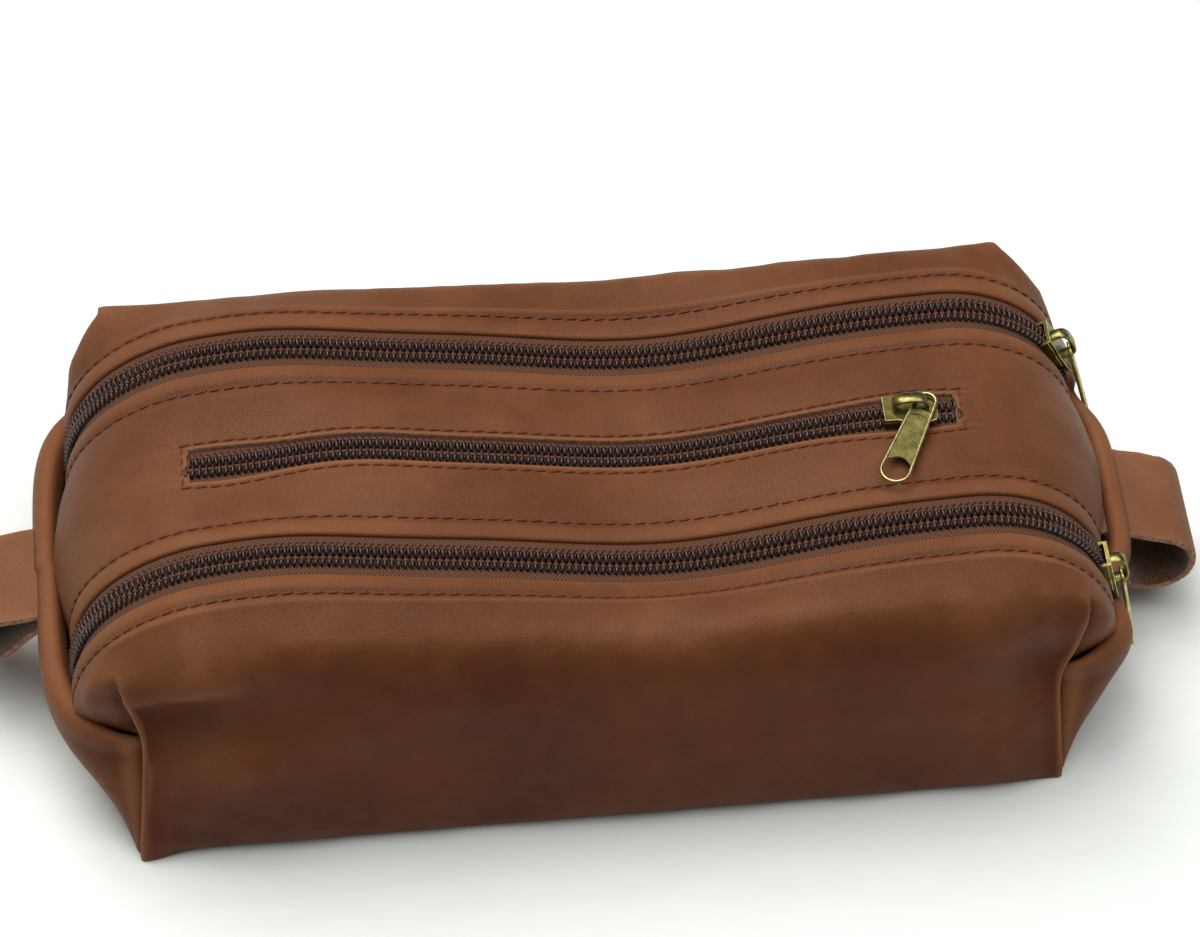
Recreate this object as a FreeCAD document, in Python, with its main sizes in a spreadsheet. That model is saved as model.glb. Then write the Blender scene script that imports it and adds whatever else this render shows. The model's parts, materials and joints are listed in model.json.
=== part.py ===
import FreeCAD, Part
import os
from math import cos, hypot, radians, sin, sqrt

import Sketcher

# Leather shaving kit bag with two main zips and a zipped pocket in the panel between them.
# Frame: origin on the floor under the middle of the bag, +X along its length, -Y its front, +Z up.

DIMENSIONS = [
    # Outer form of the filled bag
    ("half_length", 117.0), ("half_depth", 58.5), ("height", 66.0),
    ("foot_half", 104.5), ("rim_half", 120.5), ("seam_height", 33.0),
    ("end_radius", 32.0), ("edge_radius", 20.0), ("corner_radius", 24.0), ("foot_radius", 5.0),
    # Thicknesses, and depths below the outer surface
    ("leather", 1.4), ("hem_fold", 0.6), ("hem_reach", 6.0),
    ("tape_depth", 2.0), ("tape_thickness", 0.5),
    ("lining_depth", 3.0), ("lining_thickness", 0.5), ("lining_gap", 1.0),
    # Zips, measured from the middle of their own chain
    ("zip_offset", 30.0), ("zip_gap", 6.0), ("tape_start", 1.0), ("tape_reach", 12.0),
    ("coil_start", 0.5), ("coil_reach", 3.1), ("coil_proud", 0.3),
    ("thread_width", 0.6), ("thread_proud", 0.3), ("stitch_inset", 5.0),
    # Pocket slit in the centre panel, and the bag under it
    ("pocket_middle", -1.4), ("pocket_half", 86.3), ("pocket_gap", 5.2),
    ("pocket_stitch", 1.5), ("pocket_tape_over", 3.0), ("pocket_bottom", 16.0),
    # Sliders
    ("slider_half", 6.2), ("slider_half_width", 4.7), ("plate_lift", 0.6), ("plate_thickness", 1.1),
    ("flange_thickness", 0.8), ("flange_drop", 2.2), ("web_half", 1.5), ("web_thickness", 0.7),
    ("lower_plate_drop", 3.6), ("lower_plate_thickness", 0.9),
    ("crown_half", 3.8), ("crown_rise", 3.6), ("crown_bar", 0.9), ("crown_width", 2.6),
    ("crown_bend", 1.8),
    # Pullers
    ("puller_length", 26.8), ("puller_half_width", 3.575), ("puller_thickness", 1.0),
    ("puller_bar", 1.0), ("puller_eye", 4.2), ("eye_half_width", 1.7), ("head_half_width", 2.95),
    ("head_length", 5.2), ("shoulder", 1.8), ("tip_hole_radius", 2.0),
    # Strap loops at the ends
    ("strap_width", 25.4), ("strap_thickness", 1.6), ("strap_hinge_x", 122.3),
    ("strap_hinge_z", 31.0), ("strap_root", 1.3), ("loop_apex_radius", 0.25),
    ("right_loop_radius", 9.6), ("right_loop_x", 10.8), ("right_loop_z", -12.2),
    ("left_loop_radius", 8.0), ("left_loop_x", 17.7), ("left_loop_z", -9.4),
]

# Where the sliders stand: degrees round the end arc from the top, and the pullers' lean from vertical
FRONT_SLIDER_TURN = 77.0
BACK_SLIDER_TURN = 62.0
FRONT_PULLER_LEAN = 11.0
BACK_PULLER_LEAN = 14.5
# The pocket slider stands on the flat top, its puller round the crown's outer leg, lying sideways
POCKET_SLIDER_X = 74.5
POCKET_PULLER_YAW = -117.0
POCKET_PULLER_DIP = 2.0
POCKET_PULLER_LIFT = 0.9
# The puller's bar turns in the middle of the crown's bend
PIVOT_REACH = 2.0
PIVOT_RISE = 1.8

doc = FreeCAD.newDocument("shaving_kit_bag")
sheet = doc.addObject("Spreadsheet::Sheet", "dims")
for row, (alias, value) in enumerate(DIMENSIONS, start=1):
    sheet.set("A%d" % row, alias)
    sheet.set("B%d" % row, str(value))
    sheet.setAlias("B%d" % row, alias)
doc.recompute()

dim = {alias: float(sheet.get(alias)) for alias, value in DIMENSIONS}
subparts = []


def bound(text):
    """Turn an expression written with plain dimension names into one that reads the sheet."""
    words = text.replace("(", " ( ").replace(")", " ) ").split()
    return " ".join("dims." + word if word in dim else word for word in words)


def size(text):
    """The value that an expression has now."""
    return float(sheet.evalExpression(text))


def bind(thing, **sizes):
    """Bind an object's sizes to expressions of the driving dimensions."""
    for prop, text in sizes.items():
        thing.setExpression(prop, bound(text))


def bind_place(thing, **places):
    """Bind an object's position to expressions of the driving dimensions."""
    for axis, text in places.items():
        thing.setExpression("Placement.Base." + axis, bound(text))


def keep(thing, label):
    """Name an object as one of the bag's pieces."""
    thing.Label = label
    subparts.append(thing)
    return thing


def new_sketch(body, role, name):
    """A sketch on one of a body's own origin planes."""
    plane = [feature for feature in body.Origin.OriginFeatures if feature.Role == role][0]
    sketch = body.newObject("Sketcher::SketchObject", name)
    sketch.AttachmentSupport = [(plane, "")]
    sketch.MapMode = "FlatFace"
    return sketch


def pin_value(sketch, kind, arguments, text):
    """Add a dimension to a sketch and bind it."""
    index = sketch.addConstraint(Sketcher.Constraint(kind, *arguments, size(text)))
    sketch.setExpression("Constraints[%d]" % index, bound(text))


def pin_point(sketch, geometry, end, x_text, y_text):
    """Hold a point of a sketch at x, y from the origin."""
    for kind, text in (("DistanceX", x_text), ("DistanceY", y_text)):
        pin_value(sketch, kind, (-1, 1, geometry, end), text)


def middle_of_arc(start, end, radius, turn):
    """Middle point of the arc from start to end; turn is 1 anticlockwise and -1 clockwise."""
    chord = end - start
    side = FreeCAD.Vector(-chord.y, chord.x, 0) * (turn / chord.Length)
    height = sqrt(max(radius ** 2 - (chord.Length / 2) ** 2, 0.0))
    return (start + end) * 0.5 - side * (radius - height)


def draw_outline(sketch, vertices):
    """Closed outline. A vertex is (x, y) before a straight side, or (x, y, radius, turn) before an arc."""
    first = sketch.GeometryCount
    count = len(vertices)
    points = [FreeCAD.Vector(size(vertex[0]), size(vertex[1]), 0) for vertex in vertices]
    ends = []
    for number, vertex in enumerate(vertices):
        start = points[number]
        end = points[(number + 1) % count]
        if len(vertex) == 2:
            sketch.addGeometry(Part.LineSegment(start, end))
            ends.append((1, 2))
            continue
        middle = middle_of_arc(start, end, size(vertex[2]), vertex[3])
        sketch.addGeometry(Part.Arc(start, middle, end))
        ends.append((1, 2) if vertex[3] > 0 else (2, 1))
    for number, vertex in enumerate(vertices):
        following = (number + 1) % count
        joint = (first + number, ends[number][1], first + following, ends[following][0])
        sketch.addConstraint(Sketcher.Constraint("Coincident", *joint))
        pin_point(sketch, first + number, ends[number][0], vertex[0], vertex[1])
        if len(vertex) == 4:
            pin_value(sketch, "Radius", (first + number,), vertex[2])


def padded_outlines(name, role, outlines, length):
    """A body padded both ways from a plane, from one outline or from an outline with holes in it."""
    body = doc.addObject("PartDesign::Body", name)
    sketch = new_sketch(body, role, name + "_sketch")
    for vertices in outlines:
        draw_outline(sketch, vertices)
    pad = body.newObject("PartDesign::Pad", name + "_pad")
    pad.Profile = sketch
    pad.SideType = "Symmetric"
    bind(pad, Length=length)
    sketch.Visibility = False
    return body


def box(name, x_low, x_high, y_low, y_high, z_low, z_high):
    """Box between two corners given as expressions."""
    block = doc.addObject("Part::Box", name)
    bind(block, Length="( %s ) - ( %s )" % (x_high, x_low), Width="( %s ) - ( %s )" % (y_high, y_low),
         Height="( %s ) - ( %s )" % (z_high, z_low))
    bind_place(block, x=x_low, y=y_low, z=z_low)
    return block


def boolean(kind, name, pieces):
    """Fuse or common of several objects."""
    result = doc.addObject("Part::Multi" + kind, name)
    result.Shapes = pieces
    return result


def cut(name, base, tool):
    """One object with another cut out of it."""
    result = doc.addObject("Part::Cut", name)
    result.Base = base
    result.Tool = tool
    return result


# ---- Outer form -------------------------------------------------------------------------------


def side_profile(inset):
    """The bag seen from the front: sloping ends up to the rim, then a quarter round to the top."""
    arc_x = "( half_length - end_radius )"
    arc_z = "( height - end_radius )"
    right = [("foot_half - %s" % inset, inset),
             ("rim_half - %s" % inset, "seam_height - %s" % inset),
             ("half_length - %s" % inset, "seam_height - %s" % inset),
             ("half_length - %s" % inset, arc_z, "end_radius - %s" % inset, 1),
             (arc_x, "height - %s" % inset)]
    left = [("-1 * " + arc_x, "height - %s" % inset, "end_radius - %s" % inset, 1),
            ("-1 * ( half_length - %s )" % inset, arc_z),
            ("-1 * ( half_length - %s )" % inset, "seam_height - %s" % inset),
            ("-1 * ( rim_half - %s )" % inset, "seam_height - %s" % inset),
            ("-1 * ( foot_half - %s )" % inset, inset)]
    return right + left


def rounded_profile(half_x, low_y, high_y, low_radius, high_radius):
    """Rectangle with one radius at its two low corners and another at its two high ones."""
    inner_low = "( %s ) - ( %s )" % (half_x, low_radius)
    inner_high = "( %s ) - ( %s )" % (half_x, high_radius)
    above = "( %s ) + ( %s )" % (low_y, low_radius)
    below = "( %s ) - ( %s )" % (high_y, high_radius)
    return [("-1 * ( %s )" % inner_low, low_y),
            (inner_low, low_y, low_radius, 1),
            (half_x, above),
            (half_x, below, high_radius, 1),
            (inner_high, high_y),
            ("-1 * ( %s )" % inner_high, high_y, high_radius, 1),
            ("-1 * ( %s )" % half_x, below),
            ("-1 * ( %s )" % half_x, above, low_radius, 1)]


def envelope(name, inset):
    """The bag's solid form, inset by a depth below its outer surface."""
    side = padded_outlines(name + "_side", "XZ_Plane", [side_profile(inset)], "2 * half_depth")
    plan = rounded_profile("rim_half - %s" % inset, "-1 * ( half_depth - %s )" % inset,
                           "half_depth - %s" % inset, "corner_radius - %s" % inset,
                           "corner_radius - %s" % inset)
    section = rounded_profile("half_depth - %s" % inset, inset, "height - %s" % inset,
                              "foot_radius - %s" % inset, "edge_radius - %s" % inset)
    above = padded_outlines(name + "_plan", "XY_Plane", [plan], "4 * height")
    along = padded_outlines(name + "_section", "YZ_Plane", [section], "4 * half_length")
    return boolean("Common", name, [side, above, along])


def arch_profile(outer, inner):
    """A band that follows the top and both end arcs, between two depths below the surface."""
    arc_x = "( half_length - end_radius )"
    arc_z = "height - end_radius"

    def foot(depth):
        return "( half_length - %s )" % depth

    def crest(depth):
        return "height - %s" % depth

    def bend(depth):
        return "end_radius - %s" % depth

    outside = [(foot(outer), "seam_height"), (foot(outer), arc_z, bend(outer), 1),
               (arc_x, crest(outer)), ("-1 * " + arc_x, crest(outer), bend(outer), 1),
               ("-1 * " + foot(outer), arc_z), ("-1 * " + foot(outer), "seam_height")]
    inside = [("-1 * " + foot(inner), "seam_height"), ("-1 * " + foot(inner), arc_z, bend(inner), -1),
              ("-1 * " + arc_x, crest(inner)), (arc_x, crest(inner), bend(inner), -1),
              (foot(inner), arc_z), (foot(inner), "seam_height")]
    return outside + inside


def arch(name, outer, inner, near, far):
    """An arch band from y = near to y = far."""
    band = padded_outlines(name, "XZ_Plane", [arch_profile(outer, inner)], "( %s ) - ( %s )" % (far, near))
    bind_place(band, y="( ( %s ) + ( %s ) ) / 2" % (near, far))
    return band


# ---- Leather panels and lining ------------------------------------------------------------------

panel_edge = "( zip_offset + zip_gap )"
centre_edge = "( zip_offset - zip_gap )"
far_side = "( 2 * half_length )"

outer_form = envelope("outer_form", "0")
leather_inside = envelope("leather_inside", "leather")
leather_shell = cut("leather_shell", outer_form, leather_inside)
zip_window = box("zip_window", "-1 * " + far_side, far_side, "-1 * " + panel_edge, panel_edge,
                 "seam_height", "2 * height")
open_shell = cut("open_shell", leather_shell, zip_window)
front_hem = arch("front_hem", "leather", "( leather + hem_fold )",
                 "-1 * ( %s + hem_reach )" % panel_edge, "-1 * " + panel_edge)
back_hem = arch("back_hem", "leather", "( leather + hem_fold )", panel_edge, panel_edge + " + hem_reach")
keep(boolean("Fuse", "body_panel", [open_shell, front_hem, back_hem]), "body_panel")

centre_strip = arch("centre_strip", "0", "leather", "-1 * " + centre_edge, centre_edge)
centre_front_hem = arch("centre_front_hem", "leather", "( leather + hem_fold )",
                        "-1 * " + centre_edge, "-1 * ( %s - hem_reach )" % centre_edge)
centre_back_hem = arch("centre_back_hem", "leather", "( leather + hem_fold )",
                       centre_edge + " - hem_reach", centre_edge)
centre_whole = boolean("Fuse", "centre_whole", [centre_strip, centre_front_hem, centre_back_hem])
pocket_slit = box("pocket_slit", "pocket_middle - pocket_half", "pocket_middle + pocket_half",
                  "-1 * pocket_gap", "pocket_gap", "height / 2 + end_radius / 2", "2 * height")
keep(cut("centre_panel", centre_whole, pocket_slit), "centre_panel")

lining_outside = envelope("lining_outside", "lining_depth")
lining_inside = envelope("lining_inside", "( lining_depth + lining_thickness )")
lining_shell = cut("lining_shell", lining_outside, lining_inside)
lining_window = box("lining_window", "-1 * " + far_side, far_side, "-1 * ( %s + lining_gap )" % panel_edge,
                    panel_edge + " + lining_gap", "seam_height - lining_depth", "2 * height")
keep(cut("lining_body", lining_shell, lining_window), "lining_body")

lining_strip = arch("lining_strip", "lining_depth", "( lining_depth + lining_thickness )",
                    "-1 * ( %s - lining_gap )" % centre_edge, centre_edge + " - lining_gap")
lining_slit = box("lining_slit", "pocket_middle - pocket_half - pocket_tape_over",
                  "pocket_middle + pocket_half + pocket_tape_over", "-1 * ( tape_reach + lining_gap )",
                  "tape_reach + lining_gap", "height / 2 + end_radius / 2", "2 * height")
keep(cut("lining_centre", lining_strip, lining_slit), "lining_centre")

# The pocket's two lining sheets hang from the zip tapes and meet in a seam at the bottom
bag_top = "( height - lining_depth )"
for label, way in (("pocket_bag_front", "-1 * "), ("pocket_bag_back", "")):
    sheet_edge = [(way + "( tape_reach )", bag_top + " + 0.4"),
                  (way + "( tape_reach )", bag_top),
                  (way + "( pocket_gap + lining_thickness + 0.3 )", bag_top),
                  (way + "( lining_thickness + 0.05 )", "pocket_bottom"),
                  (way + "0.05", "pocket_bottom"),
                  (way + "( pocket_gap + 0.3 )", bag_top + " + 0.4")]
    bag_sheet = padded_outlines(label, "YZ_Plane", [sheet_edge], "2 * pocket_half")
    bind_place(bag_sheet, x="pocket_middle")
    keep(bag_sheet, label)

# ---- Zips ---------------------------------------------------------------------------------------


def zip_half(zip_name, side_name, middle, way):
    """One side of a main zip: a woven tape and the coil sewn along its edge."""
    reaches = (("tape", "tape_start", "tape_reach", "tape_depth", "( tape_depth + tape_thickness )"),
               ("coil", "coil_start", "coil_reach", "( -1 * coil_proud )", "tape_depth"))
    for piece, start, reach, outer, inner in reaches:
        ends = ["%s + %s * %s" % (middle, way, start), "%s + %s * %s" % (middle, way, reach)]
        ends.sort(key=size)
        label = "%s_%s_%s" % (zip_name, piece, side_name)
        keep(arch(label, outer, inner, ends[0], ends[1]), label)


zip_half("front_zip", "outer", "-1 * zip_offset", "-1")
zip_half("front_zip", "inner", "-1 * zip_offset", "1")
zip_half("back_zip", "inner", "zip_offset", "-1")
zip_half("back_zip", "outer", "zip_offset", "1")

for side_name, way in (("front", "-1"), ("back", "1")):
    layers = (("tape", "tape_start", "tape_reach", "( height - tape_depth - tape_thickness )",
               "( height - tape_depth )", "pocket_half + pocket_tape_over"),
              ("coil", "coil_start", "coil_reach", "( height - tape_depth )",
               "( height + coil_proud )", "pocket_half"))
    for piece, start, reach, low, high, half in layers:
        ends = ["%s * %s" % (way, start), "%s * %s" % (way, reach)]
        ends.sort(key=size)
        label = "pocket_zip_%s_%s" % (piece, side_name)
        keep(box(label, "pocket_middle - ( %s )" % half, "pocket_middle + %s" % half,
                 ends[0], ends[1], low, high), label)

# ---- Stitching ----------------------------------------------------------------------------------

rows = (("front_stitching_outer", "-1 * ( %s + stitch_inset )" % panel_edge),
        ("front_stitching_inner", "-1 * ( %s - stitch_inset )" % centre_edge),
        ("back_stitching_inner", centre_edge + " - stitch_inset"),
        ("back_stitching_outer", panel_edge + " + stitch_inset"))
for label, middle in rows:
    keep(arch(label, "( -1 * thread_proud )", "0", "%s - thread_width / 2" % middle,
              "%s + thread_width / 2" % middle), label)


def slit_outline(spread):
    """Rectangle round the pocket slit, spread outwards from its edges."""
    half_x = "( pocket_half + %s )" % spread
    half_y = "( pocket_gap + %s )" % spread
    return [("-1 * " + half_x, "-1 * " + half_y), (half_x, "-1 * " + half_y),
            (half_x, half_y), ("-1 * " + half_x, half_y)]


pocket_row = padded_outlines("pocket_stitching", "XY_Plane",
                             [slit_outline("( pocket_stitch + thread_width )"), slit_outline("pocket_stitch")],
                             "thread_proud")
bind_place(pocket_row, x="pocket_middle", z="height + thread_proud / 2")
keep(pocket_row, "pocket_stitching")

# ---- Sliders, crowns and pullers ------------------------------------------------------------------


def slider_body(label):
    """Slider casting, its +x along the chain and z = 0 at the leather's surface."""
    top = "( plate_lift + plate_thickness )"
    edge = "slider_half_width"
    lower = "( -1 * lower_plate_drop )"
    parts = [box(label + "_top", "-1 * slider_half", "slider_half", "-1 * " + edge, edge, "plate_lift", top),
             box(label + "_lower", "-1 * slider_half", "slider_half", "-1 * " + edge, edge,
                 lower + " - lower_plate_thickness", lower),
             box(label + "_web", "-1 * web_half", "web_half", "-1 * web_thickness / 2", "web_thickness / 2",
                 lower, "plate_lift"),
             box(label + "_flange_a", "-1 * slider_half", "slider_half", "-1 * " + edge,
                 "flange_thickness - " + edge, "plate_lift - flange_drop", "plate_lift"),
             box(label + "_flange_b", "-1 * slider_half", "slider_half", edge + " - flange_thickness", edge,
                 "plate_lift - flange_drop", "plate_lift")]
    return boolean("Fuse", label, parts)


def crown_profile():
    """Bent strip that stands on the slider as a low bridge."""
    base = "( plate_lift + plate_thickness )"
    flat = "( crown_half - crown_bend )"
    inner_bend = "crown_bend - crown_bar"
    spring = base + " + crown_rise - crown_bend"
    crest = base + " + crown_rise"
    inner_half = "( crown_half - crown_bar )"
    return [("crown_half", base), ("crown_half", spring, "crown_bend", 1),
            (flat, crest), ("-1 * " + flat, crest, "crown_bend", 1),
            ("-1 * crown_half", spring), ("-1 * crown_half", base),
            ("-1 * " + inner_half, base), ("-1 * " + inner_half, spring, inner_bend, -1),
            ("-1 * " + flat, crest + " - crown_bar"), (flat, crest + " - crown_bar", inner_bend, -1),
            (inner_half, spring), (inner_half, base)]


def puller(label):
    """Flat puller with a square eye; its origin is on the bar that closes the eye, +x to the tip."""
    start = "-1 * puller_bar / 2"
    straight = "puller_length - puller_bar / 2 - puller_half_width"
    outline = [(start, "-1 * head_half_width"),
               ("head_length", "-1 * head_half_width"),
               ("head_length + shoulder", "-1 * puller_half_width"),
               (straight, "-1 * puller_half_width", "puller_half_width", 1),
               ("puller_length - puller_bar / 2", "0.001", "puller_half_width", 1),
               (straight, "puller_half_width"),
               ("head_length + shoulder", "puller_half_width"),
               ("head_length", "head_half_width"),
               (start, "head_half_width")]
    eye = [("puller_bar / 2", "-1 * eye_half_width"),
           ("puller_bar / 2 + puller_eye", "-1 * eye_half_width"),
           ("puller_bar / 2 + puller_eye", "eye_half_width"),
           ("puller_bar / 2", "eye_half_width")]
    body = doc.addObject("PartDesign::Body", label)
    sketch = new_sketch(body, "XY_Plane", label + "_sketch")
    draw_outline(sketch, outline)
    draw_outline(sketch, eye)
    hole = sketch.addGeometry(Part.Circle(FreeCAD.Vector(size(straight), 0, 0), FreeCAD.Vector(0, 0, 1),
                                          dim["tip_hole_radius"]))
    sketch.addConstraint(Sketcher.Constraint("PointOnObject", hole, 3, -1))
    pin_value(sketch, "DistanceX", (-1, 1, hole, 3), straight)
    pin_value(sketch, "Radius", (hole,), "tip_hole_radius")
    pad = body.newObject("PartDesign::Pad", label + "_pad")
    pad.Profile = sketch
    pad.SideType = "Symmetric"
    bind(pad, Length="puller_thickness")
    return body


ABOUT_Y = FreeCAD.Vector(0, 1, 0)
ABOUT_Z = FreeCAD.Vector(0, 0, 1)


def place_on_arc(turn, y_middle):
    """Placement of a slider at an angle round the right end arc, measured from the top."""
    radius = dim["end_radius"]
    base = FreeCAD.Vector(dim["half_length"] - radius + radius * sin(radians(turn)), y_middle,
                          dim["height"] - radius + radius * cos(radians(turn)))
    return FreeCAD.Placement(base, FreeCAD.Rotation(ABOUT_Y, turn))


plate_top = dim["plate_lift"] + dim["plate_thickness"]
main_zips = (("front", FRONT_SLIDER_TURN, -dim["zip_offset"], FRONT_PULLER_LEAN),
             ("back", BACK_SLIDER_TURN, dim["zip_offset"], BACK_PULLER_LEAN))
slider_places = {}
puller_places = {}
for zip_name, turn, y_middle, lean in main_zips:
    place = place_on_arc(turn, y_middle)
    slider_places[zip_name] = place
    pivot = place.multVec(FreeCAD.Vector(PIVOT_REACH, 0, plate_top + PIVOT_RISE))
    puller_places[zip_name] = FreeCAD.Placement(pivot, FreeCAD.Rotation(ABOUT_Y, 90 - lean))

slider_places["pocket"] = FreeCAD.Placement(FreeCAD.Vector(POCKET_SLIDER_X, 0, dim["height"]),
                                            FreeCAD.Rotation())
leg_x = POCKET_SLIDER_X + dim["crown_half"] - dim["crown_bar"] / 2
lying = FreeCAD.Rotation(ABOUT_Z, POCKET_PULLER_YAW).multiply(FreeCAD.Rotation(ABOUT_Y, POCKET_PULLER_DIP))
leg = FreeCAD.Vector(leg_x, 0, dim["height"] + plate_top + POCKET_PULLER_LIFT)
eye_middle = (dim["puller_bar"] + dim["puller_eye"]) / 2
puller_places["pocket"] = FreeCAD.Placement(leg - lying.multVec(FreeCAD.Vector(eye_middle, 0, 0)), lying)

for zip_name in ("front", "back", "pocket"):
    sliding = keep(slider_body(zip_name + "_slider_body"), zip_name + "_slider_body")
    sliding.Placement = slider_places[zip_name]
    crown = padded_outlines(zip_name + "_slider_crown", "XZ_Plane", [crown_profile()], "crown_width")
    keep(crown, zip_name + "_slider_crown").Placement = slider_places[zip_name]
    keep(puller(zip_name + "_puller"), zip_name + "_puller").Placement = puller_places[zip_name]

# ---- Strap loops ----------------------------------------------------------------------------------


def draw_teardrop(sketch, root_x, root_z, root_radius, loop_x, loop_z, loop_radius):
    """Two circles joined by their outer tangents: round the seam at one end, the loop at the other."""
    root = FreeCAD.Vector(size(root_x), size(root_z), 0)
    loop = FreeCAD.Vector(size(loop_x), size(loop_z), 0)
    small = size(root_radius)
    large = size(loop_radius)
    along = (loop - root).normalize()
    across = FreeCAD.Vector(-along.y, along.x, 0)
    lean = (small - large) / hypot(loop.x - root.x, loop.y - root.y)
    level = sqrt(1 - lean ** 2)
    upper = along * lean + across * level
    lower = along * lean - across * level
    first = sketch.GeometryCount
    sketch.addGeometry(Part.Arc(root + upper * small, root - along * small, root + lower * small))
    sketch.addGeometry(Part.LineSegment(root + lower * small, loop + lower * large))
    sketch.addGeometry(Part.Arc(loop + lower * large, loop + along * large, loop + upper * large))
    sketch.addGeometry(Part.LineSegment(loop + upper * large, root + upper * small))
    for joint in ((0, 2, 1, 1), (1, 2, 2, 1), (2, 2, 3, 1), (3, 2, 0, 1)):
        geometry, end, following, start = joint
        sketch.addConstraint(Sketcher.Constraint("Tangent", first + geometry, end, first + following, start))
    for geometry, x_text, z_text, radius in ((0, root_x, root_z, root_radius), (2, loop_x, loop_z, loop_radius)):
        pin_point(sketch, first + geometry, 3, x_text, z_text)
        pin_value(sketch, "Radius", (first + geometry,), radius)


def strap_loop(label, loop_name):
    """Leather strip folded into a loop that hangs, its origin at the seam that holds both ends."""
    loop_x, loop_z, loop_radius = (loop_name + ending for ending in ("_x", "_z", "_radius"))
    body = doc.addObject("PartDesign::Body", label)
    sketch = new_sketch(body, "XZ_Plane", label + "_sketch")
    draw_teardrop(sketch, "0.001", "0.001", "strap_root", loop_x, loop_z, loop_radius)
    share = "( ( strap_thickness + loop_apex_radius - strap_root ) / ( %s - strap_root ) )" % loop_radius
    draw_teardrop(sketch, loop_x + " * " + share, loop_z + " * " + share, "loop_apex_radius",
                  loop_x, loop_z, loop_radius + " - strap_thickness")
    pad = body.newObject("PartDesign::Pad", label + "_pad")
    pad.Profile = sketch
    pad.SideType = "Symmetric"
    bind(pad, Length="strap_width")
    return body


for label, loop_name, way, facing in (("strap_right", "right_loop", 1, 0), ("strap_left", "left_loop", -1, 180)):
    hinge = FreeCAD.Vector(way * dim["strap_hinge_x"], 0, dim["strap_hinge_z"])
    strap = keep(strap_loop(label, loop_name), label)
    strap.Placement = FreeCAD.Placement(hinge, FreeCAD.Rotation(ABOUT_Z, facing))

# ---- Checks and files -----------------------------------------------------------------------------

doc.recompute()
for thing in doc.Objects:
    if "Invalid" in thing.State or "Error" in thing.State:
        raise RuntimeError("%s failed to compute: %s" % (thing.Name, thing.State))
for thing in subparts:
    if thing.Shape.isNull() or not thing.Shape.isValid() or not thing.Shape.Solids:
        raise RuntimeError("%s has no valid solid" % thing.Label)

os.makedirs("parts", exist_ok=True)
for thing in subparts:
    thing.Shape.exportStep(os.path.join("parts", thing.Label + ".step"))
    bounds = thing.Shape.BoundBox
    print("%-24s %d solid(s) %10.1f mm3  x %.1f..%.1f y %.1f..%.1f z %.1f..%.1f" % (
        thing.Label, len(thing.Shape.Solids), thing.Shape.Volume, bounds.XMin, bounds.XMax,
        bounds.YMin, bounds.YMax, bounds.ZMin, bounds.ZMax))
print(len(subparts), "pieces")
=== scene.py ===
import math
import random

import bmesh
import bpy
import numpy as np
from mathutils import Matrix, Vector, noise
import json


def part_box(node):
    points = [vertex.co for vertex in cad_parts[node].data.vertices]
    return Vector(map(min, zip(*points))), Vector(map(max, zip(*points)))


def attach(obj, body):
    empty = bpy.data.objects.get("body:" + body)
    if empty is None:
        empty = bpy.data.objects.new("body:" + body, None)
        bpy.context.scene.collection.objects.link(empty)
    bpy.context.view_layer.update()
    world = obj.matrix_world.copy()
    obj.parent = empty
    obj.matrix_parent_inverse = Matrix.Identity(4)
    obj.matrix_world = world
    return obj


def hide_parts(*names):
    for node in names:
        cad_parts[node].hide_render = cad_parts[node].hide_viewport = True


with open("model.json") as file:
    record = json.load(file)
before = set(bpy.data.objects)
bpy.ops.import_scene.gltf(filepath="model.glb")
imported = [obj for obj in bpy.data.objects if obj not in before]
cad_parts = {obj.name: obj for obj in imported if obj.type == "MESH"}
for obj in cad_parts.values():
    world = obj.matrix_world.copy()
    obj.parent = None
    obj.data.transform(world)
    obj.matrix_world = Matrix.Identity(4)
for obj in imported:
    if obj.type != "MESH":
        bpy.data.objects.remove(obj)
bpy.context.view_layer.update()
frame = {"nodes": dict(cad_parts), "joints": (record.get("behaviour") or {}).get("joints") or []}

# Lengths in this script are in millimetres; meshes are scaled to metres when they are made.
MM = 0.001
PI = math.pi
rng = random.Random(7)


def low(node):
    """A CAD node's lowest corner, in millimetres."""
    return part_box(node)[0] / MM


def high(node):
    """A CAD node's highest corner, in millimetres."""
    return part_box(node)[1] / MM


JOINTS = {joint["name"]: joint for joint in frame["joints"]}
# Names of the sides: -1 is towards the front or the left
SIDES = {-1: "front", 1: "back"}
ENDS = {-1: "left", 1: "right"}

# ---- Main sizes ----------------------------------------------------------------------------------

ARC_X = JOINTS["front_slider_turn"]["pos_m"][0] / MM
ARC_Z = JOINTS["front_slider_turn"]["pos_m"][2] / MM
TOP_Z = high("centre_panel").z
RADIUS = TOP_Z - ARC_Z
CHAIN_Y = abs(JOINTS["front_slider_turn"]["pos_m"][1]) / MM
POCKET_LOW_X = low("pocket_zip_coil_front").x
POCKET_HIGH_X = high("pocket_zip_coil_front").x
SLIDER_HALF = (high("pocket_slider_body").x - low("pocket_slider_body").x) / 2
SLIDER_X = low("pocket_slider_body").x + SLIDER_HALF
STRAP_HALF = high("strap_right").y
# Lengths along the arch: of its rounded end, and from the middle of the top to its end
ARC_LENGTH = RADIUS * PI / 2
ARCH_HALF = ARC_X + ARC_LENGTH
# The leather's edges beside the zips run on a little below the arch
EDGE_END = ARCH_HALF + 5.0
LEATHER_THICK = 1.1

# ---- Small helpers ------------------------------------------------------------------------------


def bump(x, middle, width):
    """A smooth hump of height 1."""
    return np.exp(-(((x - middle) / width) ** 2))


def ease(t):
    """Smooth step from 0 to 1."""
    t = np.clip(t, 0.0, 1.0)
    return t * t * (3 - 2 * t)


def unit(v):
    """Vectors scaled to length 1."""
    return v / np.maximum(np.linalg.norm(v, axis=-1, keepdims=True), 1e-9)


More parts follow.
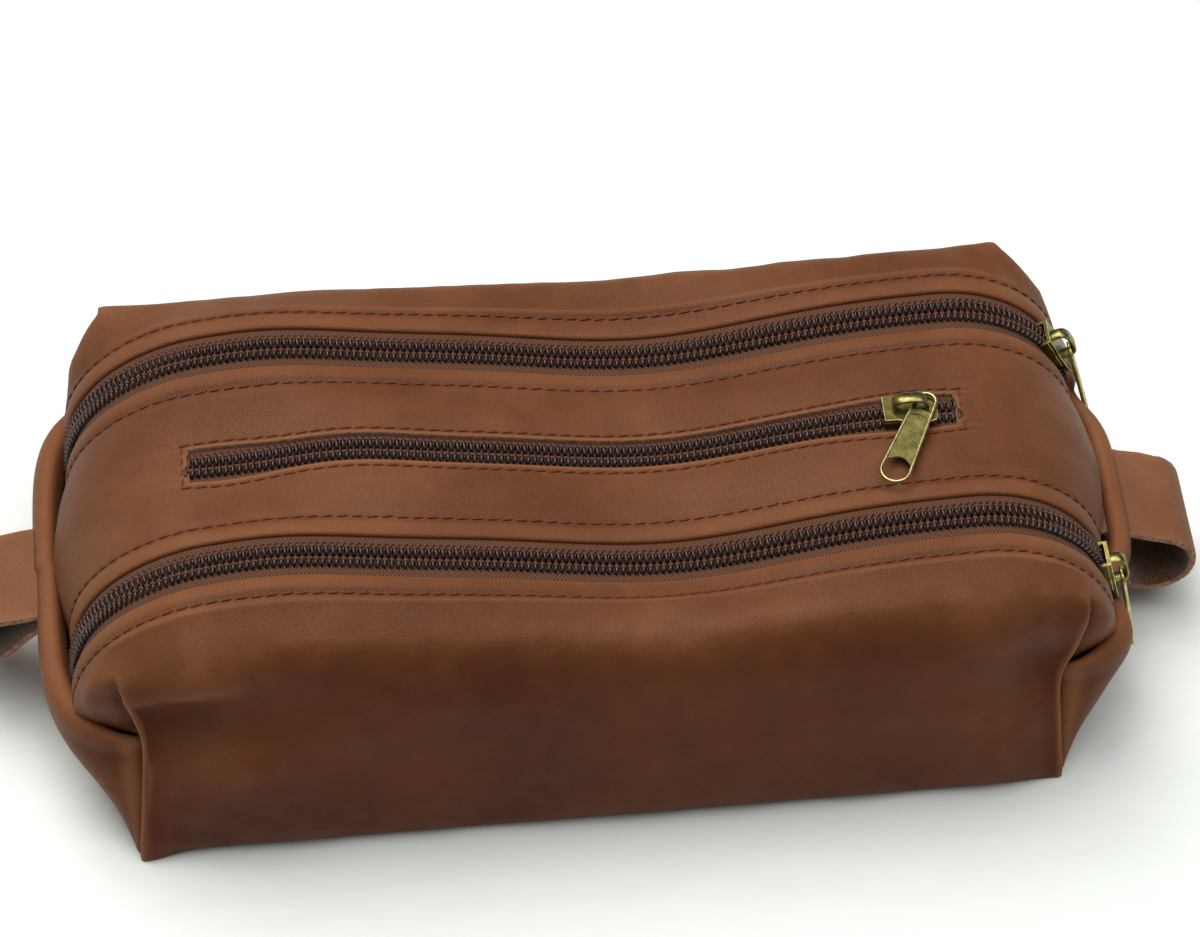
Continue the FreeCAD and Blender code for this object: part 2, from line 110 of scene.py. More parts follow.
def add_object(name, data):
    """New object in the scene."""
    made = bpy.data.objects.new(name, data)
    bpy.context.scene.collection.objects.link(made)
    return made


def new_mesh(name, points, faces, material, smooth=True):
    """Mesh object from millimetre points."""
    mesh = bpy.data.meshes.new(name)
    mesh.from_pydata([tuple(p) for p in np.asarray(points, float) * MM], [], faces)
    mesh.validate()
    mesh.update()
    if smooth:
        mesh.shade_smooth()
    piece = add_object(name, mesh)
    mesh.materials.append(material)
    return piece


def grid_faces(rows, columns, offset=0, close_rows=False, close_columns=False, flip=False):
    """Quads of a grid of points stored row by row."""
    faces = []
    for i in range(rows if close_rows else rows - 1):
        for j in range(columns if close_columns else columns - 1):
            a = offset + i * columns + j
            b = offset + i * columns + (j + 1) % columns
            c = offset + ((i + 1) % rows) * columns + (j + 1) % columns
            d = offset + ((i + 1) % rows) * columns + j
            faces.append((a, d, c, b) if flip else (a, b, c, d))
    return faces


class Parts:
    """Collects several grids into one mesh."""

    def __init__(self):
        self.points = []
        self.faces = []
        self.slots = []

    def grid(self, points, slot=0, **options):
        """Add rows of points with quads between them."""
        points = np.asarray(points, float)
        rows, columns = points.shape[:2]
        faces = grid_faces(rows, columns, offset=len(self.points), **options)
        self.points.extend(points.reshape(-1, 3))
        self.faces.extend(faces)
        self.slots.extend([slot] * len(faces))

    def raw(self, points, faces):
        """Add points with faces that are counted from the first of them."""
        offset = len(self.points)
        self.points.extend(np.asarray(points, float))
        self.faces.extend(tuple(offset + k for k in face) for face in faces)
        self.slots.extend([0] * len(faces))

    def piece(self, name, materials, merge=0.0):
        """The mesh object; points closer than merge become one."""
        piece = new_mesh(name, self.points, self.faces, materials[0])
        for material in materials[1:]:
            piece.data.materials.append(material)
        if len(piece.data.polygons) == len(self.slots):
            piece.data.polygons.foreach_set("material_index", self.slots)
        if merge:
            work = bmesh.new()
            work.from_mesh(piece.data)
            bmesh.ops.remove_doubles(work, verts=work.verts, dist=merge * MM)
            bmesh.ops.recalc_face_normals(work, faces=work.faces)
            work.to_mesh(piece.data)
            work.free()
        return piece


def finish_piece(piece, body, nodes):
    """Put a piece on its body, in place of CAD nodes."""
    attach(piece, body)
    if nodes:
        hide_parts(*nodes)


def thicken(piece, amount, offset=-1.0):
    """Give a sheet its thickness: offset -1 grows against the normals, 1 along them."""
    solid = piece.modifiers.new("thickness", "SOLIDIFY")
    solid.thickness = amount * MM
    solid.offset = offset
    solid.use_quality_normals = True


# ---- Form of the top -----------------------------------------------------------------------------

# Gap from the middle of a main chain to the leather edges beside it
EDGE_GAP = 5.6
BODY_EDGE = CHAIN_Y + EDGE_GAP
CENTRE_EDGE = CHAIN_Y - EDGE_GAP
# How far the filled ends of the centre panel stand out beyond the zips
END_BULGE = 3.6


def main_wave(x):
    """How far the top leaves the flat along the main zips: full at the left, hollow past the middle."""
    return 4.3 * bump(x, -70, 24) - 8.6 * bump(x, 17, 37)


def pocket_wave(x):
    """The same along the pocket zip."""
    return 3.0 * bump(x, -53, 18) - 7.6 * bump(x, 16, 34)


def wave(x, y):
    """Height of the slack top over the flat one."""
    across = np.abs(y)
    inner = pocket_wave(x) + (main_wave(x) - pocket_wave(x)) * ease((across - 6.0) / 20.0)
    return np.where(across < CHAIN_Y, inner, main_wave(x) * (1 - ease((across - 37.0) / 17.0)))


def arch(s):
    """x, z and outward normal at a length along the arch, counted from the middle of the top."""
    s = np.asarray(s, float)
    side = np.sign(s)
    along = np.abs(s)
    turn = np.clip((along - ARC_X) / RADIUS, 0, PI / 2)
    below = np.maximum(along - ARCH_HALF, 0)
    x = side * (np.minimum(along, ARC_X) + RADIUS * np.sin(turn))
    z = ARC_Z + RADIUS * np.cos(turn) - below
    return x, z, side * np.sin(turn), np.cos(turn)


def top_point(s, y, lift):
    """Point on the arch, y across, lift above the leather's flat surface."""
    s, y, lift = np.broadcast_arrays(np.asarray(s, float), np.asarray(y, float), np.asarray(lift, float))
    x, z, nx, nz = arch(s)
    swell = END_BULGE * np.cos(np.clip(np.abs(y) / CENTRE_EDGE, 0, 1) * PI / 2) ** 2
    lift = lift + swell * ease((np.abs(s) - ARC_X) / ARC_LENGTH)
    return np.stack([x + nx * lift, y, z + nz * lift + wave(x, y)], axis=-1)


# ---- Materials -----------------------------------------------------------------------------------


def material(name):
    """An empty node material; returns it with its tree and shader."""
    made = bpy.data.materials.new(name)
    made.use_nodes = True
    tree = made.node_tree
    shader = next(node for node in tree.nodes if node.type == "BSDF_PRINCIPLED")
    return made, tree, shader


def node(tree, kind, **inputs):
    """Add a node and set its inputs or properties."""
    made = tree.nodes.new(kind)
    for key, value in inputs.items():
        if key in made.inputs:
            made.inputs[key].default_value = value
        else:
            setattr(made, key, value)
    return made


def ramp(tree, source, stops):
    """Colour ramp on a value; stops are (position, colour)."""
    made = tree.nodes.new("ShaderNodeValToRGB")
    elements = made.color_ramp.elements
    while len(elements) < len(stops):
        elements.new(0.5)
    for element, (position, colour) in zip(elements, stops):
        element.position = position
        element.color = (*colour, 1)
    tree.links.new(source, made.inputs["Fac"])
    return made.outputs["Color"]


def mix(tree, mode, factor, first, second):
    """Mix two colours; factor, first and second are values or sockets."""
    made = tree.nodes.new("ShaderNodeMix")
    made.data_type = "RGBA"
    made.blend_type = mode
    for index, value in ((0, factor), (6, first), (7, second)):
        if isinstance(value, bpy.types.NodeSocket):
            tree.links.new(value, made.inputs[index])
        elif index:
            made.inputs[index].default_value = (*value, 1)
        else:
            made.inputs[index].default_value = value
    return made.outputs[2]


def calc(tree, operation, first, second=0.0, third=0.0):
    """Maths on values or sockets."""
    made = tree.nodes.new("ShaderNodeMath")
    made.operation = operation
    for index, value in enumerate((first, second, third)):
        if isinstance(value, bpy.types.NodeSocket):
            tree.links.new(value, made.inputs[index])
        else:
            made.inputs[index].default_value = value
    return made.outputs[0]


def bump_chain(tree, shader, *layers):
    """Stack of bumps: (height socket, strength, distance in mm), coarsest first."""
    normal = None
    for height, strength, distance in layers:
        made = node(tree, "ShaderNodeBump", Strength=strength, Distance=distance * MM)
        tree.links.new(height, made.inputs["Height"])
        if normal:
            tree.links.new(normal, made.inputs["Normal"])
        normal = made.outputs["Normal"]
    tree.links.new(normal, shader.inputs["Normal"])


def object_place(tree):
    """Coordinates fixed to the object."""
    return node(tree, "ShaderNodeTexCoord").outputs["Object"]


def texture(tree, place, kind, scale, detail, **inputs):
    """Texture at a place; returns its factor."""
    made = node(tree, "ShaderNodeTex" + kind, Scale=scale, Detail=detail, **inputs)
    tree.links.new(place, made.inputs["Vector"])
    return made.outputs["Fac"]


def stretched(tree, place, scale, turn=(0, 0, 0)):
    """A place stretched and turned."""
    made = node(tree, "ShaderNodeMapping", Scale=scale, Rotation=turn)
    tree.links.new(place, made.inputs["Vector"])
    return made.outputs["Vector"]


def dress(tree, shader, base, **values):
    """Link the base colour and set the shader's other inputs, spaces written as underscores."""
    tree.links.new(base, shader.inputs["Base Color"])
    for key, value in values.items():
        shader.inputs[key.replace("_", " ")].default_value = value


def uneven_gloss(tree, shader, source, least, most):
    """Roughness that follows a texture."""
    made = node(tree, "ShaderNodeMapRange", **{"To Min": least, "To Max": most})
    tree.links.new(source, made.inputs["Value"])
    tree.links.new(made.outputs["Result"], shader.inputs["Roughness"])


def leather_material(name, dark, middle, light, roughness=0.5, depth=1.0):
    """Smooth waxed leather: cloudy dye, painted shade that darkens the faces turned to the front or back by
    the share depth, fine grain, creases and a soft sheen.
    """
    made, tree, shader = material(name)
    place = object_place(tree)
    black, white = (0, 0, 0), (1, 1, 1)
    clouds = texture(tree, place, "Noise", 18, 4, Roughness=0.55, Distortion=0.4)
    base = ramp(tree, clouds, [(0.30, dark), (0.52, middle), (0.72, light)])
    mottle = texture(tree, place, "Noise", 160, 5, Roughness=0.65)
    spots = ramp(tree, mottle, [(0.3, (0.62, 0.60, 0.58)), (0.65, white)])
    base = mix(tree, "MULTIPLY", 0.35, base, spots)
    # Pebble grain, its cells a little warped
    pores = node(tree, "ShaderNodeTexVoronoi", Scale=1250, Randomness=1.0, feature="DISTANCE_TO_EDGE")
    warp = node(tree, "ShaderNodeTexNoise", Scale=600, Detail=2)
    tree.links.new(place, warp.inputs["Vector"])
    shifted = node(tree, "ShaderNodeVectorMath", operation="MULTIPLY_ADD")
    tree.links.new(warp.outputs["Color"], shifted.inputs[0])
    shifted.inputs[1].default_value = (0.9 * MM,) * 3
    tree.links.new(place, shifted.inputs[2])
    tree.links.new(shifted.outputs[0], pores.inputs["Vector"])
    cell = ramp(tree, pores.outputs["Distance"], [(0.0, black), (0.16, white)])
    gaps = ramp(tree, pores.outputs["Distance"], [(0.0, (0.45, 0.42, 0.40)), (0.12, white)])
    base = mix(tree, "MULTIPLY", 0.16, base, gaps)
    # Painted shade: a darker, deeper brown where the leather faces front or back, as on faces turned away
    # from the lamps; paler wax on the ridges
    facing = node(tree, "ShaderNodeSeparateXYZ")
    tree.links.new(node(tree, "ShaderNodeTexCoord").outputs["Normal"], facing.inputs[0])
    front_back_shade = ramp(tree, calc(tree, "ABSOLUTE", facing.outputs[1]), [(0.60, black), (0.95, white)])
    base = mix(tree, "MULTIPLY", calc(tree, "MULTIPLY", front_back_shade, depth), base, (0.68, 0.43, 0.16))
    pointed = node(tree, "ShaderNodeNewGeometry").outputs["Pointiness"]
    worn = calc(tree, "MULTIPLY", ramp(tree, pointed, [(0.502, black), (0.545, white)]), 0.40)
    base = mix(tree, "MIX", worn, base, tuple(1.9 * part for part in light))
    dress(tree, shader, base, Specular_IOR_Level=0.13, Sheen_Weight=0.02, Sheen_Roughness=0.45,
          Sheen_Tint=(0.85, 0.62, 0.5, 1))
    uneven_gloss(tree, shader, mottle, roughness - 0.07, roughness + 0.09)
    folds = texture(tree, place, "Noise", 70, 3, Roughness=0.5, Distortion=1.2)
    slanted = stretched(tree, place, (1.0, 1.0, 0.45), (0, 0.5, 0))
    lines = texture(tree, slanted, "Noise", 520, 3, Roughness=0.5, Distortion=0.6)
    areas = ramp(tree, texture(tree, place, "Noise", 24, 2, Roughness=0.5), [(0.48, black), (0.66, white)])
    creases = calc(tree, "MULTIPLY", lines, areas)
    fibre = texture(tree, place, "Noise", 2600, 3, Roughness=0.6)
    bump_chain(tree, shader, (folds, 0.40, 0.8), (creases, 0.45, 0.35), (cell, 0.45, 0.14),
               (fibre, 0.35, 0.06))
    return made


def suede_material(name, dark, light):
    """Rough flesh side or cut edge of leather: short fibres."""
    made, tree, shader = material(name)
    place = object_place(tree)
    coarse = texture(tree, place, "Noise", 900, 6, Roughness=0.75)
    fine = texture(tree, place, "Noise", 3800, 4, Roughness=0.7)
    dress(tree, shader, ramp(tree, coarse, [(0.35, dark), (0.62, light)]), Roughness=0.93, Sheen_Weight=0.35,
          Sheen_Roughness=0.5, Specular_IOR_Level=0.2)
    bump_chain(tree, shader, (coarse, 0.8, 0.5), (fine, 0.7, 0.2))
    return made


def tape_material(name, dark, light):
    """Herringbone tape: the UV map holds millimetres along and across the tape."""
    made, tree, shader = material(name)
    split = node(tree, "ShaderNodeSeparateXYZ")
    tree.links.new(node(tree, "ShaderNodeUVMap").outputs["UV"], split.inputs[0])
    along, across = split.outputs[0], split.outputs[1]
    # Diagonal threads turn over at each rib, 1.6 mm wide
    ribs = calc(tree, "PINGPONG", across, 1.6)
    diagonal = calc(tree, "ADD", along, calc(tree, "MULTIPLY", ribs, 0.9))
    twill = calc(tree, "SINE", calc(tree, "MULTIPLY", diagonal, 2 * PI / 0.85))
    weft = calc(tree, "SINE", calc(tree, "MULTIPLY", across, 2 * PI / 0.42))
    height = calc(tree, "ADD", calc(tree, "MULTIPLY", twill, 0.5), calc(tree, "MULTIPLY", weft, 0.22))
    level = calc(tree, "MULTIPLY_ADD", height, 0.5, 0.5)
    dress(tree, shader, ramp(tree, level, [(0.15, dark), (0.85, light)]), Roughness=0.8, Sheen_Weight=0.06,
          Specular_IOR_Level=0.15)
    bump_chain(tree, shader, (level, 0.8, 0.18))
    return made


def nylon_material(name, dark, light):
    """Shiny dark nylon with slight streaks."""
    made, tree, shader = material(name)
    streaks = texture(tree, object_place(tree), "Noise", 500, 3)
    base = ramp(tree, streaks, [(0.35, dark), (0.7, light)])
    dress(tree, shader, base, Roughness=0.33, Specular_IOR_Level=0.5)
    return made


def thread_material(name, dark, light):
    """Twisted sewing thread."""
    made, tree, shader = material(name)
    twist = texture(tree, object_place(tree), "Wave", 900, 2, Distortion=2.0, bands_direction="DIAGONAL")
    dress(tree, shader, ramp(tree, twist, [(0.2, dark), (0.8, light)]), Roughness=0.6, Specular_IOR_Level=0.2)
    bump_chain(tree, shader, (twist, 0.5, 0.1))
    return made


def brass_material(name, dark, middle, light):
    """Antique brass: blotchy patina over a brushed, slightly pitted surface."""
    made, tree, shader = material(name)
    place = object_place(tree)
    blotch = texture(tree, place, "Noise", 520, 6, Roughness=0.7)
    fine = texture(tree, place, "Noise", 2600, 4, Roughness=0.7)
    dress(tree, shader, ramp(tree, blotch, [(0.36, dark), (0.52, middle), (0.70, light)]), Metallic=1.0)
    uneven_gloss(tree, shader, fine, 0.26, 0.50)
    bump_chain(tree, shader, (blotch, 0.25, 0.12), (fine, 0.25, 0.05))
    return made


# The body leather gets the full painted shade on its front and back faces, the strap leather none
LEATHER = leather_material("leather", (0.108, 0.032, 0.0105), (0.146, 0.050, 0.018), (0.184, 0.071, 0.029))
STRAP_LEATHER = leather_material("strap_leather", (0.150, 0.054, 0.022), (0.190, 0.075, 0.033),
                                 (0.225, 0.094, 0.045), roughness=0.55, depth=0.0)
SUEDE = suede_material("suede", (0.050, 0.018, 0.008), (0.170, 0.068, 0.030))
CUT_EDGE = suede_material("cut_edge", (0.100, 0.036, 0.016), (0.420, 0.210, 0.115))
TAPE = tape_material("tape", (0.040, 0.015, 0.008), (0.150, 0.066, 0.036))
NYLON = nylon_material("nylon", (0.020, 0.009, 0.007), (0.046, 0.022, 0.017))
COIL_THREAD = thread_material("coil_thread", (0.070, 0.024, 0.012), (0.185, 0.072, 0.038))
THREAD = thread_material("thread", (0.055, 0.015, 0.006), (0.190, 0.062, 0.026))
# Near black: painted shade inside the needle holes at the ends of the stitches
NEEDLE_HOLE_SHADE = suede_material("needle_hole_shade", (0.008, 0.003, 0.002), (0.022, 0.008, 0.005))
BRASS = brass_material("antique_brass", (0.085, 0.076, 0.022), (0.150, 0.132, 0.042),
                       (0.215, 0.188, 0.066))
BRASS_WORN = brass_material("worn_brass", (0.130, 0.108, 0.034), (0.260, 0.218, 0.078),
                            (0.430, 0.365, 0.155))
BRASS_EDGE = brass_material("brass_edge", (0.330, 0.275, 0.100), (0.560, 0.480, 0.210),
                            (0.720, 0.630, 0.320))
LINING = suede_material("lining_cloth", (0.055, 0.034, 0.024), (0.110, 0.072, 0.052))

# ---- Leather body --------------------------------------------------------------------------------

STITCH_INSET = 5.0
# The folded hem in section: distance from the leather's edge and height, from under the hem outwards
HEM = [(4.4, -1.95), (1.3, -1.95), (0.45, -1.75), (0.08, -1.25), (0.0, -0.75), (0.18, -0.25), (0.65, 0.08)]
# From the hem to beyond the stitching: puffed, pulled down at the stitches, full again
PUFF = [(1.4, 0.30), (2.4, 0.38), (3.5, 0.22), (4.3, -0.06), (5.0, -0.28), (5.7, -0.06), (6.6, 0.06)]
# Where the puffed edge goes over into the plain leather
PUFF_END, PUFF_LIFT = PUFF[-1]
# Length along the arch at which the body panel turns from its front into the end
TURN_S = ARC_X + RADIUS * PI / 4


def curve_through(controls, counts):
    """Centripetal Catmull-Rom curves. controls is (points, columns, 3); counts are steps per span."""
    controls = np.asarray(controls, float)
    first = 2 * controls[0] - controls[1]
    last = 2 * controls[-1] - controls[-2]
    padded = np.concatenate([first[None], controls, last[None]])
    rows = []
    for span, count in enumerate(counts):
        p0, p1, p2, p3 = padded[span:span + 4]
        knots = [np.zeros((p0.shape[0], 1))]
        for a, b in ((p0, p1), (p1, p2), (p2, p3)):
            knots.append(knots[-1] + np.sqrt(np.linalg.norm(b - a, axis=-1, keepdims=True)) + 1e-6)
        t0, t1, t2, t3 = knots
        for step in range(count):
            t = t1 + (t2 - t1) * step / count
            a1 = (t1 - t) / (t1 - t0) * p0 + (t - t0) / (t1 - t0) * p1
            a2 = (t2 - t) / (t2 - t1) * p1 + (t - t1) / (t2 - t1) * p2
            a3 = (t3 - t) / (t3 - t2) * p2 + (t - t2) / (t3 - t2) * p3
            b1 = (t2 - t) / (t2 - t0) * a1 + (t - t0) / (t2 - t0) * a2
            b2 = (t3 - t) / (t3 - t1) * a2 + (t - t1) / (t3 - t1) * a3
            rows.append((t2 - t) / (t2 - t1) * b1 + (t - t1) / (t2 - t1) * b2)
    rows.append(controls[-1])
    return np.stack(rows)


SEAM_Z = 33.5
FOOT_Z = 0.3
BACK_SEAM = dict(middle=(103.2, 55.6, 17.0), low=(104.0, 57.4, 4.0), foot=(104.0, 57.0, FOOT_Z))
# A corner of the body panel: the pinched tip, the fold below it, the junction with the end seam and
# the seam down to the floor, as (x, distance from the middle plane, z)
CORNERS = {
    ("right", "front"): dict(
        tip=(109.0, 48.4, 55.0), fold=(105.4, 52.2, 43.0), junction=(102.6, 52.8, SEAM_Z),
        middle=(103.2, 55.4, 17.0), low=(104.2, 57.6, 4.0), foot=(104.4, 57.4, FOOT_Z)),
    ("left", "front"): dict(
        tip=(106.4, 50.6, 55.0), fold=(103.0, 52.8, 45.0), junction=(101.6, 52.4, SEAM_Z),
        middle=(103.0, 56.6, 17.0), low=(104.4, 60.2, 4.0), foot=(104.6, 60.2, FOOT_Z)),
    ("right", "back"): dict(
        tip=(103.0, 53.4, 61.5), fold=(103.6, 54.0, 46.0), junction=(102.6, 53.4, SEAM_Z), **BACK_SEAM),
    ("left", "back"): dict(
        tip=(106.8, 53.0, 62.4), fold=(107.0, 53.6, 50.0), junction=(102.2, 53.0, SEAM_Z), **BACK_SEAM),
}
# The same places half way along the bag as (distance from the middle plane, z), the share of the way
# to the corner at which the row starts to leave them, and how late it bends
FACE_ROWS = (("tip", (51.5, 62.3), 0.70, 1.6), ("fold", (58.0, 50.0), 0.74, 1.3),
             ("junction", (60.2, 34.0), 0.76, 1.2), ("middle", (60.6, 17.0), 0.86, 1.2),
             ("low", (60.0, 4.0), 0.86, 1.2), ("foot", (57.6, FOOT_Z), 0.86, 1.2))
# The face wraps a little round each fold and corner seam: (outward along x, inward along y)
LIP = ((0.75, 0.35), (0.95, 1.3), (0.1, 2.5))
# Mesh rows between the control rows of a face, and the rows that the tip and the junction are on
FACE_STEPS = (16, 9, 9, 11, 5, 5)
TIP_ROW = FACE_STEPS[0]
JUNCTION_ROW = sum(FACE_STEPS[:3])
FACE_COLUMNS = 150
# Dents and soft ridges of the front beside two sloping lines: amount, then middle and width along
# the bag, then middle and width across the line
LEFT_DENTS = ((-6.8, -89, 14, 0, 7.5), (-2.4, -70, 17, 0, 9.0), (1.6, -84, 17, -14, 6.0),
              (2.2, -90, 13, 13, 5.0))
RIGHT_DENTS = ((-2.6, 94, 12, 0, 8.0), (1.0, 84, 16, -13, 6.0), (1.2, 88, 16, 13, 7.0))


def edge_run(edge, s, offsets, outward):
    """Rows of points beside a leather edge: offsets are (distance from the edge, height)."""
    return [top_point(s, outward * (edge + distance), height) for distance, height in offsets]


def face_controls(side, s):
    """Control rows of the front (side -1) or back (side 1) for columns at lengths s on the arch."""
    share = s / TURN_S
    right = (share >= 0)[:, None]
    rows = [top_point(s, side * (BODY_EDGE + PUFF_END), PUFF_LIFT)]
    for key, (middle_y, middle_z), begin, power in FACE_ROWS:
        near = ease((np.abs(share) - begin) / (1 - begin)) ** power
        ends = np.where(right, CORNERS["right", SIDES[side]][key], CORNERS["left", SIDES[side]][key])
        end_x, end_y, end_z = ends.T
        x = share * end_x
        y = middle_y + (end_y - middle_y) * near
        z = middle_z + (end_z - middle_z) * near
        if key == "tip":
            z = z + 0.30 * main_wave(x) * (1 - near)
        rows.append(np.stack([x, side * y, z], axis=-1))
    return np.stack(rows)


def press(points, side):
    """Dents and soft folds of the filled bag, pressed into the front or back face."""
    x, y, z = points[..., 0], points[..., 1], points[..., 2]
    face = ease((np.abs(y) - 47.0) / 6.0)
    depth = 0.5 * np.sin(x / 21.0 + 1.0) * np.sin(z / 17.0)
    if side < 0:
        # A hollow runs in from each fold, with ridges beside it
        left_line = (z - 41.0) - 0.22 * (x + 96.0)
        right_line = (z - 38.0) + 0.30 * (x - 96.0)
        for line, dents in ((left_line, LEFT_DENTS), (right_line, RIGHT_DENTS)):
            for amount, along, long, above, high_by in dents:
                depth = depth + amount * bump(x, along, long) * bump(line, above, high_by)
        depth = depth - 1.0 * bump(x, 10, 60) * bump(z, 36, 14)
    else:
        depth = depth - 2.2 * bump(np.abs(x), 92, 13) * bump(z, 42, 8)
        depth = depth - 1.2 * bump(x, 0, 60) * bump(z, 36, 16)
    moved = points.copy()
    moved[..., 1] += side * depth * face
    return moved


def down_end(share):
    """Lengths along the arch from the fold's tip down to the end of the leather's edge."""
    return TURN_S + (EDGE_END - TURN_S) * share


def cheek(side, way, top_edge, fold_edge):
    """End patch between the zip and the fold: (rows down to the seam) x (columns from zip to fold)."""
    down = np.linspace(0, 1, len(fold_edge))
    s = way * down_end(down)
    zip_side = top_point(s, side * (BODY_EDGE + PUFF_END), PUFF_LIFT)
    across = np.linspace(0, 1, len(top_edge))
    start, end = zip_side[-1], fold_edge[-1]
    seam_side = start + (end - start) * across[:, None]
    # The seam bends round the corner in plan
    seam_side[:, 0] -= way * 0.9 * np.sin(PI * across)
    seam_side[:, 1] -= side * 0.4 * np.sin(PI * across)
    u = across[None, :, None]
    v = down[:, None, None]
    ruled_rows = zip_side[:, None] * (1 - u) + fold_edge[:, None] * u
    ruled_columns = top_edge[None] * (1 - v) + seam_side[None] * v
    corners = ((1 - v) * ((1 - u) * zip_side[0] + u * top_edge[-1])
               + v * ((1 - u) * seam_side[0] + u * seam_side[-1]))
    patch = ruled_rows + ruled_columns - corners
    # Full beside the zip, hollow under the fold
    swell = 3.4 * np.sin(PI * u ** 0.72) * np.sin(PI * v ** 0.8) ** 0.9
    swell = swell - 1.5 * bump(u, 0.86, 0.13) * ease(v / 0.12) * ease((1 - v) / 0.2)
    outward = unit(np.array([way * 0.8, side * 0.75, 0.15]))
    return patch + outward * swell


def read_vertices(mesh, field="co"):
    """The mesh's vertex places or normals as rows."""
    values = np.zeros(len(mesh.vertices) * 3)
    mesh.vertices.foreach_get(field, values)
    return values.reshape(-1, 3)


def write_vertices(mesh, points):
    """Move the mesh's vertices."""
    mesh.vertices.foreach_set("co", points.ravel())
    mesh.update()


def soften(piece, pinned, rounds):
    """Average the mesh lightly, leaving the pinned vertices where they are."""
    mesh = piece.data
    points = read_vertices(mesh)
    edges = np.zeros(len(mesh.edges) * 2, np.int64)
    mesh.edges.foreach_get("vertices", edges)
    edges = edges.reshape(-1, 2)
    degree = np.bincount(edges.ravel(), minlength=len(points))[:, None]
    free = 1.0 - pinned(points / MM)[:, None]
    for _ in range(rounds):
        total = np.zeros_like(points)
        np.add.at(total, edges[:, 0], points[edges[:, 1]])
        np.add.at(total, edges[:, 1], points[edges[:, 0]])
        points = points + (total / np.maximum(degree, 1) - points) * 0.5 * free
    write_vertices(mesh, points)


def wrinkle(piece, amount, scale, weight):
    """Low wrinkles along the vertex normals; nothing goes under the floor."""
    points = read_vertices(piece.data)
    normals = read_vertices(piece.data, "normal")
    share = weight(points / MM) * amount * MM
    heights = np.array([noise.noise(Vector(point)) for point in points / (scale * MM)])
    points = points + normals * (share * heights)[:, None]
    points[:, 2] = np.maximum(points[:, 2], 0.15 * MM)
    write_vertices(piece.data, points)


def inside(points):
    """The leather's points drawn in towards the middle of the bag, for the cloth lining."""
    middle = np.array([0, 0, 32.0])
    return middle + (points - middle) * np.array([0.95, 0.885, 0.88])


# Corner seams from the junction to the floor, by side and end
SEAM_EDGES = {}


def build_body(side):
    """Front or back half of the body panel, with its share of the upper ends and of the bottom."""
    parts = Parts()
    cloth = Parts()
    t = np.linspace(-1, 1, FACE_COLUMNS)
    s = TURN_S * (0.62 * t + 0.38 * np.sin(t * PI / 2))
    plain = curve_through(face_controls(side, s), FACE_STEPS)
    face = press(plain, side)
    wrap = ease((np.arange(len(face)) - TIP_ROW) / 7.0)[:, None]
    edges = {1: plain[:, -1], -1: plain[:, 0]}
    lips = {}
    for way, column in ((1, -1), (-1, 0)):
        face[:, column] = edges[way]
        lips[way] = [edges[way] + wrap * np.array([way * out, -side * inward, 0]) for out, inward in LIP]
        SEAM_EDGES[side, way] = lips[way][-1][JUNCTION_ROW:]
    parts.grid(face)
    cloth.grid(inside(face))
    for way in (1, -1):
        parts.grid(np.stack([edges[way][TIP_ROW:]] + [lip[TIP_ROW:] for lip in lips[way]], axis=1))
    # Bottom, from the foot to the middle
    foot = face[-1]
    inward = np.linspace(0, 1, 12)[:, None, None]
    middle = foot * np.array([1, 0, 1])
    parts.grid(foot[None] * (1 - inward) + middle[None] * inward)
    for way in (1, -1):
        patch = cheek(side, way, edges[way][:TIP_ROW + 1], lips[way][-1][TIP_ROW:JUNCTION_ROW + 1])
        parts.grid(patch)
        cloth.grid(inside(patch))
    # Hem and stitched edge along the whole zip
    end_s = down_end(np.linspace(0, 1, JUNCTION_ROW - TIP_ROW + 1))
    all_s = np.unique(np.round(np.concatenate([s, -end_s, end_s]), 6))
    parts.grid(edge_run(BODY_EDGE, all_s, HEM + PUFF, side))
    leather = parts.piece("leather_" + SIDES[side], [LEATHER], merge=0.02)
    return leather, cloth.piece("lining_" + SIDES[side], [LINING])


def body_pins(points):
    """What stays put when the leather is softened: zip edges, folds, seams and the floor."""
    x, y, z = points[:, 0], np.abs(points[:, 1]), points[:, 2]
    near_zip = y < BODY_EDGE + PUFF_END + 0.3
    near_fold = (np.abs(x) > 98.0) & (y > 46.0) & (z < 51.0)
    floor = z < 1.2
    return np.where(near_zip | near_fold | floor, 1.0, 0.0)


def face_share(points):
    """1 on the front and back faces, 0 on the top and at the floor."""
    x, y, z = np.abs(points.T)
    return ease((y - 44) / 6) * ease(z / 8) * ease((104 - x) / 6)


for side in (-1, 1):
    shell, cloth = build_body(side)
    soften(shell, body_pins, rounds=10)
    wrinkle(shell, 0.7, 19.0, face_share)
    wrinkle(shell, 0.22, 6.0, face_share)
    finish_piece(cloth, "root", ["lining_body"])
    thicken(shell, LEATHER_THICK)
    finish_piece(shell, "root", ["body_panel"])

# ---- Lower ends ----------------------------------------------------------------------------------

# Lower end in section: share of the way from the seam's line to the rim's outside, and height
END_ROWS = ((-0.35, 28.0), (-0.12, 31.6), (0.22, 33.4), (0.62, 33.3), (0.93, 31.6), (1.0, 28.6))
# Below the roll: height, share of the roll's reach that is left, and depth of the hollow
END_DROP = ((21.0, 0.80, 0.5), (11.0, 0.42, 1.0), (3.2, 0.13, 0.3), (1.35, 0.05, 0.0))
END_STEPS = (3, 3, 3, 3, 3, 7, 9, 8, 4, 3)
# Mesh rows over the roll, which the cloth leaves out
ROLL_ROWS = sum(END_STEPS[:4])


